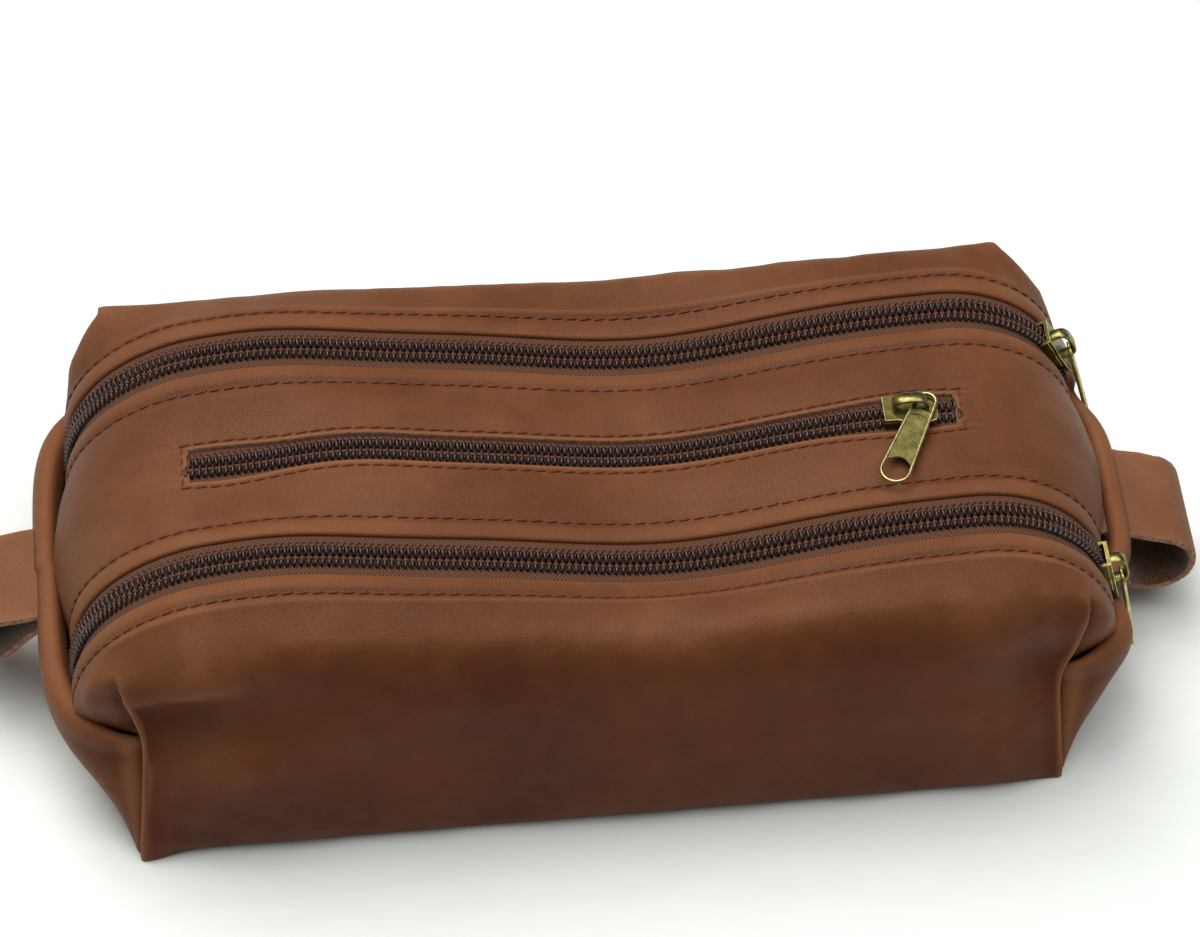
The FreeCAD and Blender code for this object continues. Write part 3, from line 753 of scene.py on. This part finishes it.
def end_sheet(way):
    """Lower end of the bag: a soft roll along the seam, then down to the floor."""
    t = np.linspace(-1, 1, 96)
    t = 0.35 * t + 0.65 * np.sin(t * PI / 2)
    reach = np.abs(t)
    roll = 1.0 - reach ** 4

    def border(z, axis):
        """Where the corner seams are at a height; each side of the end has its own."""
        seams = [SEAM_EDGES[side, way][::-1] for side in (-1, 1)]
        front, back = [abs(np.interp(z, seam[:, 2], seam[:, axis])) for seam in seams]
        return np.where(t < 0, front, back)

    seam_x, seam_y = border(SEAM_Z, 0), border(SEAM_Z, 1)
    inner = seam_x + 19.0 * (1 - reach ** 4.4) ** 0.62
    outer = seam_x + 0.9 + 21.3 * (1 - reach ** 5.2) ** 0.5
    if way > 0:
        # The hanging pullers press the roll in
        pressed = bump(reach * seam_y, 30.0, 9.0)
        inner = inner + (ARC_X + RADIUS + 0.4 - inner) * pressed
        outer = outer + (low("front_puller").x - 0.6 - outer) * pressed
    controls = []
    for share, z in END_ROWS:
        x = inner + (outer - inner) * share
        height = z - 1.0 * (1 - roll) + 0.6 * roll * (0.1 < share < 0.95)
        controls.append(np.stack([way * x, t * seam_y, height], axis=-1))
    for z, share, hollow in END_DROP:
        x = border(z, 0) + (outer - seam_x) * share - hollow * roll
        controls.append(np.stack([way * x, t * border(z, 1), z + 0 * t], axis=-1))
    # Turned in under the bag
    foot_x, foot_y = border(FOOT_Z, 0) - 3.0, border(FOOT_Z, 1)
    controls.append(np.stack([way * foot_x, t * foot_y, END_DROP[-1][0] + 0 * t], axis=-1))
    points = curve_through(np.stack(controls), END_STEPS)
    parts = Parts()
    parts.grid(points, flip=way > 0)
    cloth = Parts()
    cloth.grid(inside(points[ROLL_ROWS:]))
    leather = parts.piece("leather_end_" + ENDS[way], [LEATHER])
    return leather, cloth.piece("lining_end_" + ENDS[way], [LINING])


def end_share(points):
    """1 in the middle of a lower end, 0 at its borders."""
    return ease(points[:, 2] / 8) * ease((30 - points[:, 2]) / 6) * ease((50 - np.abs(points[:, 1])) / 8)


for way in (1, -1):
    sheet, cloth = end_sheet(way)
    wrinkle(sheet, 1.1, 15.0, end_share)
    finish_piece(cloth, "root", [])
    # The sheet is the leather's inner side
    thicken(sheet, LEATHER_THICK, offset=1.0)
    finish_piece(sheet, "root", ["body_panel"])

# ---- Centre panel --------------------------------------------------------------------------------

# From the slit's edge to its stitching
SLIT_OUT = 1.5
# Beside the slit, from outside its stitching to its edge: distance and height
SLIT_EDGE = ((SLIT_OUT + 0.45, -0.04), (SLIT_OUT, -0.22), (SLIT_OUT - 0.5, -0.02), (0.35, 0.10), (0.0, 0.0))
# Heights of the slit's cut edge
CUT_LIFTS = (0.0, -0.5, -1.1)


def slit_half(x):
    """Half the width of the pocket slit: wide enough for the slider at both ends of its travel."""
    ends = bump(x, SLIDER_X, 14) + bump(x, POCKET_LOW_X + 7, 12)
    return 3.9 + 1.05 * np.clip(ends, 0, 1)


def build_centre():
    """Strip between the main zips, with its hems and the pocket slit."""
    low_x, high_x = POCKET_LOW_X, POCKET_HIGH_X
    spans = ((-EDGE_END, low_x, 46), (low_x, high_x, 150), (high_x, EDGE_END, 46))
    s = np.unique(np.round(np.concatenate([np.linspace(*span) for span in spans]), 6))
    opening = (s >= low_x - 1e-4) & (s <= high_x + 1e-4)
    parts = Parts()
    for side in (-1, 1):
        rows = edge_run(CENTRE_EDGE, s, [(-d, h) for d, h in HEM + PUFF], side)
        # From the stitching in to the slit's own stitching, and to its edge
        inner = slit_half(s)
        outer_y = CENTRE_EDGE - PUFF_END
        for share in np.linspace(0, 1, 13)[1:]:
            y = outer_y + (inner + 2.6 - outer_y) * share
            crown = 0.25 * math.sin(PI * share) + 0.06 * (1 - share)
            rows.append(top_point(s, side * y, crown))
        near = np.exp(-((s - np.clip(s, low_x, high_x)) / 5.0) ** 2)
        for reach, lift in SLIT_EDGE:
            rows.append(top_point(s, side * (inner + reach), lift * near))
        parts.grid(rows, flip=side < 0)
        # Cut edge of the slit
        edge_s = s[opening]
        wall = [top_point(edge_s, side * slit_half(edge_s), lift) for lift in CUT_LIFTS]
        parts.grid(wall, slot=1, flip=side < 0)
    # Beyond the slit's ends the two halves meet
    for part_s, end_x in ((s[s <= low_x + 1e-4], low_x), (s[s >= high_x - 1e-4], high_x)):
        across = np.linspace(-1, 1, 9)
        parts.grid([top_point(part_s, slit_half(part_s) * t, 0.0) for t in across], flip=True)
        parts.grid([top_point(end_x, slit_half(end_x) * across, lift) for lift in CUT_LIFTS], slot=1)
    return parts.piece("leather_centre", [LEATHER, CUT_EDGE], merge=0.02)


def centre_share(points):
    """1 on the plain leather of the centre panel, 0 at its edges and seams."""
    return ease((20 - np.abs(points[:, 1])) / 6) * ease((np.abs(points[:, 1]) - 6) / 4)


def pocket_bag(side):
    """Half of the pocket's bag: hangs from the slit, its bottom edge a little slack."""
    s = np.linspace(POCKET_LOW_X, POCKET_HIGH_X, 70)
    rows = []
    for share in np.linspace(0, 1, 22):
        top = top_point(s, side * 8.5, -3.2)
        slack = 0.9 * np.sin(s / 11.0) * math.sin(PI * share)
        y = side * (8.5 * (1 - share) ** 1.6 + 0.8) + slack
        z = top[:, 2] + (16.0 + 1.2 * np.sin(s / 19.0) - top[:, 2]) * share
        rows.append(np.stack([s, y, z], axis=-1))
    parts = Parts()
    parts.grid(rows, flip=side > 0)
    piece = parts.piece("pocket_cloth_" + SIDES[side], [LINING])
    thicken(piece, 0.4)
    finish_piece(piece, "root", ["pocket_bag_" + SIDES[side]])


def centre_lining():
    """Cloth under the strip, on both sides of the pocket."""
    s = np.linspace(-ARCH_HALF - 4, ARCH_HALF + 4, 150)
    parts = Parts()
    for side in (-1, 1):
        rows = [top_point(s, side * y, -3.4) for y in np.linspace(10.0, CENTRE_EDGE - 6.0, 8)]
        parts.grid(rows, flip=side > 0)
    finish_piece(parts.piece("lining_strip", [LINING]), "root", ["lining_centre"])


centre_lining()
centre = build_centre()
wrinkle(centre, 0.35, 17.0, centre_share)
finish_piece(centre, "root", ["centre_panel"])
for side in (-1, 1):
    pocket_bag(side)

# ---- Zips: tapes, coils and the thread that holds the coils ----------------------------------------

TAPE_LIFT = -1.55
COIL_PITCH = 1.5
COIL_WIRE = 0.36
COIL_MIDDLE = -0.45
# The coil's middle is this far out from the chain's, and reaches this far across and up
COIL_OUT = 1.52
COIL_HALF_WIDTH = 1.42
COIL_HALF_HEIGHT = 0.62
TAPE_REACH = 11.0
POCKET_TAPE_REACH = 9.0
ARCH_END = ARCH_HALF + 1.0


def tape_piece(name, label, chain_y, side, s_low, s_high, reach):
    """Woven tape from the coil outwards, with a map of millimetres for its weave."""
    s = np.linspace(s_low, s_high, max(int((s_high - s_low) / 1.6), 2))
    across = np.array([0.25, 1.2, 2.2, 3.1, 4.0, 5.2, 6.6, reach])
    lifts = np.array([-0.35, -0.15, 0.0, 0.12, 0.1, 0.0, -0.35, -0.5]) + TAPE_LIFT
    rows = [top_point(s, chain_y + side * a, lift) for a, lift in zip(across, lifts)]
    parts = Parts()
    parts.grid(rows, flip=side > 0)
    piece = parts.piece(name + "_tape_" + label, [TAPE])
    layer = piece.data.uv_layers.new(name="weave")
    columns = len(s)
    for loop in piece.data.loops:
        row, column = divmod(loop.vertex_index, columns)
        layer.data[loop.index].uv = (s[column], across[row])
    thicken(piece, 0.45)
    finish_piece(piece, "root", [name + "_zip_tape_" + label])


def sweep(path, radii, sides):
    """Rings along a path: (points, sides, 3)."""
    path = np.asarray(path, float)
    tangent = unit(np.gradient(path, axis=0))
    reference = np.tile(np.array([0.0, 0.0, 1.0]), (len(path), 1))
    steep = np.abs(tangent[:, 2]) > 0.9
    reference[steep] = (1.0, 0.0, 0.0)
    first = unit(np.cross(tangent, reference))
    second = np.cross(tangent, first)
    angles = np.linspace(0, 2 * PI, sides, endpoint=False)
    radii = np.broadcast_to(np.asarray(radii, float), (len(path),))[:, None, None]
    ring = first[:, None] * np.cos(angles)[:, None] + second[:, None] * np.sin(angles)[:, None]
    return path[:, None] + ring * radii


def coil_piece(name, label, chain_y, side, s_low, s_high):
    """One side of the chain: a flattened nylon helix whose heads mesh with the other side's."""
    shift = PI * (side > 0)
    turns = (s_high - s_low) / COIL_PITCH
    steps = int(turns * 14)
    phase = np.linspace(0, turns * 2 * PI, steps) + shift
    s = s_low + (phase - shift) / (2 * PI) * COIL_PITCH
    # The helix is flat above and below, its heads reach a little past the middle
    lateral = COIL_OUT + COIL_HALF_WIDTH * np.sign(np.cos(phase)) * np.abs(np.cos(phase)) ** 0.75
    height = COIL_MIDDLE + COIL_HALF_HEIGHT * np.sign(np.sin(phase)) * np.abs(np.sin(phase)) ** 0.8
    lean = 0.12 * np.cos(phase)
    path = top_point(s + lean, chain_y + side * lateral, height)
    parts = Parts()
    parts.grid(sweep(path, COIL_WIRE, 6), close_columns=True)
    piece = parts.piece(name + "_coil_" + label, [NYLON])
    finish_piece(piece, "root", [name + "_zip_coil_" + label])


def add_rod(parts, points, radius, sides, slot=0):
    """Tube with tapered, closed ends through a few points."""
    radii = np.full(len(points), radius)
    radii[0] = radii[-1] = radius * 0.35
    first = len(parts.points)
    parts.grid(sweep(points, radii, sides), slot=slot, close_columns=True)
    last = len(parts.points) - sides
    parts.faces.append(tuple(range(first, first + sides))[::-1])
    parts.faces.append(tuple(range(last, last + sides)))
    parts.slots.extend([slot, slot])


# A chain stitch over the coil: along the coil, away from the chain's middle, height
CHAIN_STITCH = ((-0.66, 1.85, -0.05), (-0.24, 1.66, 0.42), (0.24, 1.70, 0.44), (0.68, 1.92, -0.02))


def coil_threads(name, chain_y, s_low, s_high):
    """The two rows of chain stitch that hold each coil to its tape."""
    parts = Parts()
    count = int((s_high - s_low) / COIL_PITCH)
    for side in (-1, 1):
        for k in range(count):
            s = s_low + (k + 0.5 + 0.25 * side) * COIL_PITCH
            if s + 0.8 > s_high:
                continue
            path = [top_point(s + ds, chain_y + side * dy, height) for ds, dy, height in CHAIN_STITCH]
            add_rod(parts, path, 0.37, 5)
    piece = parts.piece(name + "_coil_thread", [COIL_THREAD])
    finish_piece(piece, "root", [])


for way, name in SIDES.items():
    for label, side in (("outer", way), ("inner", -way)):
        tape_piece(name, label, way * CHAIN_Y, side, -ARCH_END, ARCH_END, TAPE_REACH)
        coil_piece(name, label, way * CHAIN_Y, side, -ARCH_END, ARCH_END)
    coil_threads(name, way * CHAIN_Y, -ARCH_END, ARCH_END)
for side, label in SIDES.items():
    tape_piece("pocket", label, 0.0, side, POCKET_LOW_X - 2.5, POCKET_HIGH_X + 2.5, POCKET_TAPE_REACH)
    coil_piece("pocket", label, 0.0, side, POCKET_LOW_X - 1, POCKET_HIGH_X + 1)
coil_threads("pocket", 0.0, POCKET_LOW_X, POCKET_HIGH_X)

# ---- Stitching -----------------------------------------------------------------------------------

STITCH_PITCH = 3.3
STITCH_LENGTH = 2.5
STITCH_RADIUS = 0.30
HOLE_SHADE_RADIUS = 0.36
# A lock stitch: share of its length, and height; it dips into the leather at both ends
STITCH_ARC = ((-0.5, -0.42), (-0.36, -0.02), (-0.15, 0.10), (0.15, 0.10), (0.36, -0.02), (0.5, -0.42))
# Painted shade of the needle hole at the end of the stitch: a short near black rod sunk a little into the
# leather
STITCH_HOLE_SHADE = ((0.46, -0.13), (0.66, -0.13))
# Heights of the rows over the flat leather
SEAM_LIFT = PUFF[4][1] + 0.16
POCKET_LIFT = -0.06


def stitch(parts, s, y, base, ds, dy):
    """One stitch along (ds, dy) with the painted shade of its needle hole."""
    for spots, radius, slot in ((STITCH_ARC, STITCH_RADIUS, 0), (STITCH_HOLE_SHADE, HOLE_SHADE_RADIUS, 1)):
        path = [top_point(s + ds * t, y + dy * t, lift + base) for t, lift in spots]
        add_rod(parts, path, radius, 6, slot)


def finish_stitches(parts, name, node_name):
    """Thread and the painted shade of the needle holes as one piece."""
    finish_piece(parts.piece(name, [THREAD, NEEDLE_HOLE_SHADE]), "root", [node_name])


def straight_row(side, label, y):
    """Row of stitches along the arch."""
    parts = Parts()
    limit = ARCH_HALF - 1.5
    count = int(2 * limit / STITCH_PITCH)
    for k in range(count + 1):
        slant = rng.uniform(0.10, 0.34)
        length = STITCH_LENGTH + rng.uniform(-0.12, 0.12)
        wander = rng.uniform(-0.07, 0.07)
        stitch(parts, -limit + k * STITCH_PITCH, side * y + wander, SEAM_LIFT, length, slant)
    finish_stitches(parts, "stitches_%s_%s" % (SIDES[side], label), "%s_stitching_%s" % (SIDES[side], label))


def pocket_row():
    """Rectangle of stitches round the slit."""
    parts = Parts()
    low_x, high_x = POCKET_LOW_X - SLIT_OUT, POCKET_HIGH_X + SLIT_OUT
    count = int((high_x - low_x) / STITCH_PITCH)
    for side in (-1, 1):
        for k in range(count + 1):
            s = low_x + 0.6 + k * (high_x - low_x - 1.2) / count
            y = side * (slit_half(s) + SLIT_OUT)
            stitch(parts, s, y, POCKET_LIFT, STITCH_LENGTH, rng.uniform(0.1, 0.34))
    for end_x in (low_x, high_x):
        half = slit_half(end_x) + SLIT_OUT
        for k in range(4):
            stitch(parts, end_x, -half + (k + 0.5) * half / 2, POCKET_LIFT, 0.25, 2.4)
    finish_stitches(parts, "stitches_pocket", "pocket_stitching")


OUTER_ROW = ("outer", BODY_EDGE + STITCH_INSET)
INNER_ROW = ("inner", CENTRE_EDGE - STITCH_INSET)
for side, row in ((-1, OUTER_ROW), (-1, INNER_ROW), (1, INNER_ROW), (1, OUTER_ROW)):
    straight_row(side, *row)
pocket_row()

# ---- Sliders, crowns and pullers ------------------------------------------------------------------


def arc_place(name, y):
    """Matrix of a main slider: its own x runs along the chain, its z away from the leather."""
    middle = (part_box(name + "_slider_body")[0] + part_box(name + "_slider_body")[1]) / 2 / MM
    turn = math.atan2(middle.x - ARC_X, middle.z - ARC_Z)
    place = Vector((ARC_X + RADIUS * math.sin(turn), y, ARC_Z + RADIUS * math.cos(turn)))
    return Matrix.Translation(place) @ Matrix.Rotation(turn, 4, "Y")


def placed(parts, matrix):
    """Move collected points by a matrix."""
    turn = np.array(matrix.to_3x3())
    parts.points = [turn @ np.asarray(p) + np.array(matrix.translation) for p in parts.points]
    return parts


def round_edges(piece, width):
    """Worn, rounded metal edges in the piece's second material."""
    edge = piece.modifiers.new("edges", "BEVEL")
    edge.width = width * MM
    edge.segments = 2
    edge.limit_method = "ANGLE"
    edge.angle_limit = math.radians(28)
    edge.material = 1
    edge.harden_normals = True


# Half width of the slider's plate along its length: narrow where the closed chain leaves it
PLATE = ((-6.1, 3.45), (-2.9, 3.55), (-1.5, 4.15), (0.2, 4.45), (4.4, 4.5), (5.6, 4.1), (6.1, 3.2))
FLANGE = ((-6.0, 3.5), (-2.9, 3.58), (-1.5, 4.18), (0.2, 4.48), (2.3, 4.55))
# The flange in section: distance outwards from that half width, and height
FLANGE_SECTION = ((-0.75, 0.9), (-0.75, -1.35), (-1.15, -1.6), (0, -1.6), (0, 0.9))
# Undersides and tops of the plate over the chain and the one under it, and the wedge between them
TOP_PLATE = (0.72, 1.7)
UNDER_PLATE = (-4.5, -3.6)
WEDGE = ((2.4, -0.45), (5.2, -0.8), (5.2, 0.8), (2.4, 0.45))


def plate_outline(inset=0.0):
    """The plate's outline, counter-clockwise."""
    upper = [(x, y - inset) for x, y in PLATE]
    return [(x, -y) for x, y in upper] + upper[::-1]


def prism(parts, outline, z_low, z_high):
    """Upright prism on an outline."""
    count = len(outline)
    points = [(x, y, z) for z in (z_low, z_high) for x, y in outline]
    sides = [(k, (k + 1) % count, count + (k + 1) % count, count + k) for k in range(count)]
    parts.raw(points, sides + [tuple(range(count))[::-1], tuple(range(count, 2 * count))])


def slider_casting(name, matrix):
    """Slider body: plate over the chain, folded flanges and the plate under the tape."""
    parts = Parts()
    prism(parts, plate_outline(), *TOP_PLATE)
    prism(parts, plate_outline(0.1), *UNDER_PLATE)
    prism(parts, WEDGE, UNDER_PLATE[1], TOP_PLATE[0])
    for side in (-1, 1):
        rings = [[(x, side * (half + y), z) for y, z in FLANGE_SECTION] for x, half in FLANGE]
        parts.grid(rings, close_columns=True, flip=side < 0)
        for ring, order in ((rings[0], 1), (rings[-1], -1)):
            parts.raw(ring, [tuple(range(5))[::order * side]])
    piece = placed(parts, matrix).piece(name + "_casting", [BRASS, BRASS_EDGE])
    piece.data.shade_flat()
    round_edges(piece, 0.16)
    finish_piece(piece, name + "_slider", [name + "_slider_body"])


# The crown is a bent strip; its section is in shares of its half width and half thickness
CROWN_HALF_LENGTH = 3.75
CROWN_BASE = 1.5
CROWN_RISE = 3.35
CROWN_HALF_WIDTH = 1.40
CROWN_HALF_THICK = 0.36
CROWN_SECTION = ((-1, 0), (-0.9, 1), (0, 1), (0.9, 1), (1, 0), (0.9, -1), (0, -1), (-0.9, -1))


def crown_bridge(name, matrix):
    """Bent strip on the slider that the puller hangs from."""
    rings = []
    for angle in np.linspace(PI, 0, 33):
        cosine, sine = math.cos(angle), max(math.sin(angle), 0.0)
        x = math.copysign(CROWN_HALF_LENGTH * abs(cosine) ** 0.62, cosine)
        middle = Vector((x, 0, CROWN_BASE + CROWN_RISE * sine ** 0.55))
        outward = Vector((cosine ** 3, 0, sine ** 2 + 0.02)).normalized()
        rings.append([middle + Vector((0, CROWN_HALF_WIDTH * across, 0)) + outward * CROWN_HALF_THICK * out
                      for across, out in CROWN_SECTION])
    parts = Parts()
    parts.grid(rings, close_columns=True)
    parts.raw(rings[0], [tuple(range(8))[::-1]])
    parts.raw(rings[-1], [tuple(range(8))])
    piece = placed(parts, matrix).piece(name + "_crown_strip", [BRASS_WORN])
    finish_piece(piece, name + "_slider", [name + "_slider_crown"])


# The puller runs from its ring's outside to its wider tip
PULLER_START = -0.5
PULLER_LENGTH = 26.8
RING_RADIUS = 2.62
TIP_RADIUS = 3.575
RING_X = PULLER_START + RING_RADIUS
TIP_X = PULLER_START + PULLER_LENGTH - TIP_RADIUS


def taper_outline(inset):
    """Outline of the puller, a capsule that widens to its tip, moved inwards."""
    lean = math.asin((TIP_RADIUS - RING_RADIUS) / (TIP_X - RING_X))
    points = []
    for middle, radius, first, last in ((TIP_X, TIP_RADIUS, -PI / 2 - lean, PI / 2 + lean),
                                        (RING_X, RING_RADIUS, PI / 2 + lean, 3 * PI / 2 - lean)):
        for angle in np.linspace(first, last, 36):
            points.append((middle + (radius - inset) * math.cos(angle), (radius - inset) * math.sin(angle)))
    return np.array(points)


def half_width(x):
    """Half the width inside the puller's rim."""
    return RING_RADIUS + (TIP_RADIUS - RING_RADIUS) * (x - RING_X) / (TIP_X - RING_X) - 0.35


def web(parts, near, near_rise, far, far_rise, half_thickness):
    """Plate between the puller's sides; both its ends are arcs that rise towards the ring."""
    across = np.linspace(-1, 1, 17)
    runs = np.linspace(0, 1, 9)
    sheets = []
    for z in (half_thickness, -half_thickness):
        first = near + near_rise * across ** 2
        last = far + far_rise * across ** 2
        x = first[None] + (last - first)[None] * runs[:, None]
        y = across[None] * half_width(x)
        sheets.append(np.stack([x, y, np.full_like(x, z)], axis=-1))
    parts.grid(sheets[0])
    parts.grid(sheets[1], flip=True)
    for row in (0, -1):
        parts.grid([sheets[0][row], sheets[1][row]], slot=1, flip=row == 0)


# The rim in section, upper half: distance inwards from the outline, and height
RIM = ((0.0, 0.22), (0.12, 0.44), (0.36, 0.52), (0.58, 0.42), (0.68, 0.2))


def puller_plate(name, matrix):
    """Puller: thin raised rim, sunk patinated plate, ring at one end and a round hole at the other."""
    parts = Parts()
    rim = []
    for inset, z in RIM + tuple((inset, -z) for inset, z in RIM[::-1]):
        outline = taper_outline(inset)
        rim.append(np.column_stack([outline, np.full(len(outline), z)]))
    parts.grid(rim, slot=1, close_rows=True, close_columns=True)
    web(parts, 4.9, 0.5, 6.4, 0.9, 0.44)
    web(parts, 6.3, 0.9, 19.0, 2.0, 0.22)
    piece = placed(parts, matrix).piece(name + "_pull", [BRASS, BRASS_EDGE])
    finish_piece(piece, name + "_puller", [name + "_puller"])


def puller_place(name, pivot_from_start):
    """Matrix of a puller from its pivot and the far end of its node; x runs to the tip."""
    pivot = Vector(JOINTS[name + "_puller_swing"]["pos_m"]) / MM
    corners = [vertex.co / MM for vertex in frame["nodes"][name + "_puller"].data.vertices]
    reach = max((corner - pivot).length for corner in corners)
    far = [corner for corner in corners if (corner - pivot).length > reach - 0.02]
    tip = sum(far, Vector()) / len(far)
    along = (tip - pivot).normalized()
    across = Vector((0, 1, 0)) if abs(along.z) > 0.5 else Vector((0, 0, 1)).cross(along).normalized()
    facing = along.cross(across)
    turn = Matrix((along, across, facing)).transposed().to_4x4()
    return Matrix.Translation(pivot - along * pivot_from_start) @ turn


# How far along its puller the pocket's pivot is; the main pullers turn about their own start
POCKET_PIVOT = 2.6
flat_place = Matrix.Translation(Vector((SLIDER_X, 0, TOP_Z)))
for name, place, pivot in (("front", arc_place("front", -CHAIN_Y), 0.0),
                           ("back", arc_place("back", CHAIN_Y), 0.0),
                           ("pocket", flat_place, POCKET_PIVOT)):
    slider_casting(name, place)
    crown_bridge(name, place)
    puller_plate(name, puller_place(name, pivot))

# ---- Strap loops ------------------------------------------------------------------------------------

STRAP_THICK = 2.1
# Where the strap's two layers leave the seam: depth in the seam, and half the gap there and outside
ROOT_DEPTH = 2.6
ROOT_HALF_GAP = 0.9
LEAVING_HALF_GAP = 1.1
# Outer radius of each loop, by end
LOOP_RADIUS = {1: 9.6, -1: 8.0}


def strap_line(way):
    """Middle line of a strap's leather in x and z: out from the seam, round the loop and back."""
    name = "strap_" + ENDS[way]
    hinge = Vector(JOINTS[name + "_flex"]["pos_m"]) / MM
    far_x = max(abs(low(name).x), abs(high(name).x))
    low_z = low(name).z
    outer_radius = LOOP_RADIUS[way]
    loop = Vector((far_x - outer_radius, 0, low_z + outer_radius))
    start = Vector((abs(hinge.x), 0, hinge.z))
    reach = loop - start
    direction = math.atan2(reach.z, reach.x)
    lean = math.asin((outer_radius - STRAP_THICK) / reach.length)
    radius = outer_radius - STRAP_THICK / 2
    side_out = Vector((-math.sin(direction), 0, math.cos(direction)))
    root = start - reach.normalized() * ROOT_DEPTH
    points = [root + side_out * ROOT_HALF_GAP, start + side_out * LEAVING_HALF_GAP]
    for angle in np.linspace(direction + PI / 2 + lean, direction - PI / 2 - lean, 15):
        points.append(loop + Vector((math.cos(angle), 0, math.sin(angle))) * radius)
    points += [start - side_out * LEAVING_HALF_GAP, root - side_out * ROOT_HALF_GAP]
    line = curve_through(np.array([[p] for p in points]), [6] * (len(points) - 1))[:, 0]
    return line[:, [0, 2]]


def strap_piece(way):
    """Strap loop: grained outside, rough inside, fibrous cut edges that wander a little."""
    name = "strap_" + ENDS[way]
    line = strap_line(way)
    tangent = unit(np.gradient(line, axis=0))
    outward = np.stack([-tangent[:, 1], tangent[:, 0]], axis=-1)
    across = np.concatenate([[-1, -0.985, -0.95], np.linspace(-0.85, 0.85, 17), [0.95, 0.985, 1]])
    count = len(line)
    parts = Parts()
    ragged = [np.array([noise.noise(Vector((k * 0.55, 7.3 * side, way))) * 0.28 for k in range(count)])
              for side in (-1, 1)]
    layers = []
    for face in (1, -1):
        rows = []
        for a in across:
            edge = ragged[0] * max(-a, 0) ** 8 + ragged[1] * max(a, 0) ** 8
            half = STRAP_THICK / 2 * (1 - 0.28 * abs(a) ** 30)
            x, z = (line + outward * face * half).T
            rows.append(np.stack([way * x, a * STRAP_HALF + edge, z], axis=-1))
        layers.append(np.stack(rows))
    parts.grid(layers[0], slot=0, flip=way < 0)
    parts.grid(layers[1], slot=1, flip=way > 0)
    for column, sense in ((0, 1), (-1, -1)):
        wall = []
        for share in np.linspace(0, 1, 5):
            row = layers[0][column] * (1 - share) + layers[1][column] * share
            fuzz = np.array([noise.noise(Vector((k * 1.7, share * 5, 3.0 * sense))) for k in range(count)])
            row[:, 1] -= sense * math.sin(PI * share) * (0.22 + 0.16 * fuzz)
            wall.append(row)
        parts.grid(wall, slot=2, flip=(sense * way) > 0)
    for end in (0, -1):
        parts.grid([layers[0][:, end], layers[1][:, end]], slot=2, flip=end == 0)
    piece = parts.piece(name + "_leather", [STRAP_LEATHER, SUEDE, CUT_EDGE])
    finish_piece(piece, name, [name])


for way in (1, -1):
    strap_piece(way)

# ---- Camera, light and floor ----------------------------------------------------------------------

CAMERA_TARGET = Vector((5.9, 14.6, 36.0)) * MM
CAMERA_DISTANCE = 1.019
CAMERA_HEIGHT = math.radians(51)
CAMERA_TURN = math.radians(-5.6)
toward = Vector((math.sin(CAMERA_TURN) * math.cos(CAMERA_HEIGHT),
                 -math.cos(CAMERA_TURN) * math.cos(CAMERA_HEIGHT), math.sin(CAMERA_HEIGHT)))
camera_data = bpy.data.cameras.new("camera")
camera_data.sensor_width = 36
camera_data.lens = 132
camera_data.clip_end = 20
camera = add_object("camera", camera_data)
camera.location = CAMERA_TARGET + toward * CAMERA_DISTANCE
camera.rotation_euler = (-toward).to_track_quat("-Z", "Y").to_euler()
bpy.context.scene.camera = camera


def area_light(name, place, target, width, power, colour):
    """Soft square light aimed at a point."""
    data = bpy.data.lights.new(name, "AREA")
    data.size = width
    data.energy = power
    data.color = colour
    lamp = add_object(name, data)
    lamp.location = place
    lamp.rotation_euler = (Vector(target) - Vector(place)).to_track_quat("-Z", "Y").to_euler()


area_light("window", (-0.9, 1.2, 3.2), (0, 0, 0.03), 2.4, 108, (1.0, 0.99, 0.965))
area_light("top", (0.4, -0.5, 3.5), (0, 0, 0.03), 2.8, 84, (0.985, 0.995, 1.0))

world = bpy.data.worlds.new("world")
bpy.context.scene.world = world
world.use_nodes = True
sky = world.node_tree.nodes["Background"]
sky.inputs["Color"].default_value = (0.93, 0.97, 0.96, 1)
sky.inputs["Strength"].default_value = 0.17
bpy.context.scene.view_settings.view_transform = "Standard"


def floor_material():
    """Pale painted board."""
    made, tree, shader = material("pale_board")
    grain = texture(tree, stretched(tree, object_place(tree), (9, 40, 1)), "Noise", 4, 8, Roughness=0.65)
    base = ramp(tree, grain, [(0.35, (0.76, 0.785, 0.755)), (0.6, (0.78, 0.805, 0.775))])
    dress(tree, shader, base, Roughness=0.7)
    bump_chain(tree, shader, (grain, 0.10, 0.2))
    return made


FLOOR_HALF = 4000
floor_corners = [(x * FLOOR_HALF, y * FLOOR_HALF, 0) for x, y in ((-1, -1), (1, -1), (1, 1), (-1, 1))]
floor = new_mesh("floor", floor_corners, [(0, 1, 2, 3)], floor_material(), smooth=False)
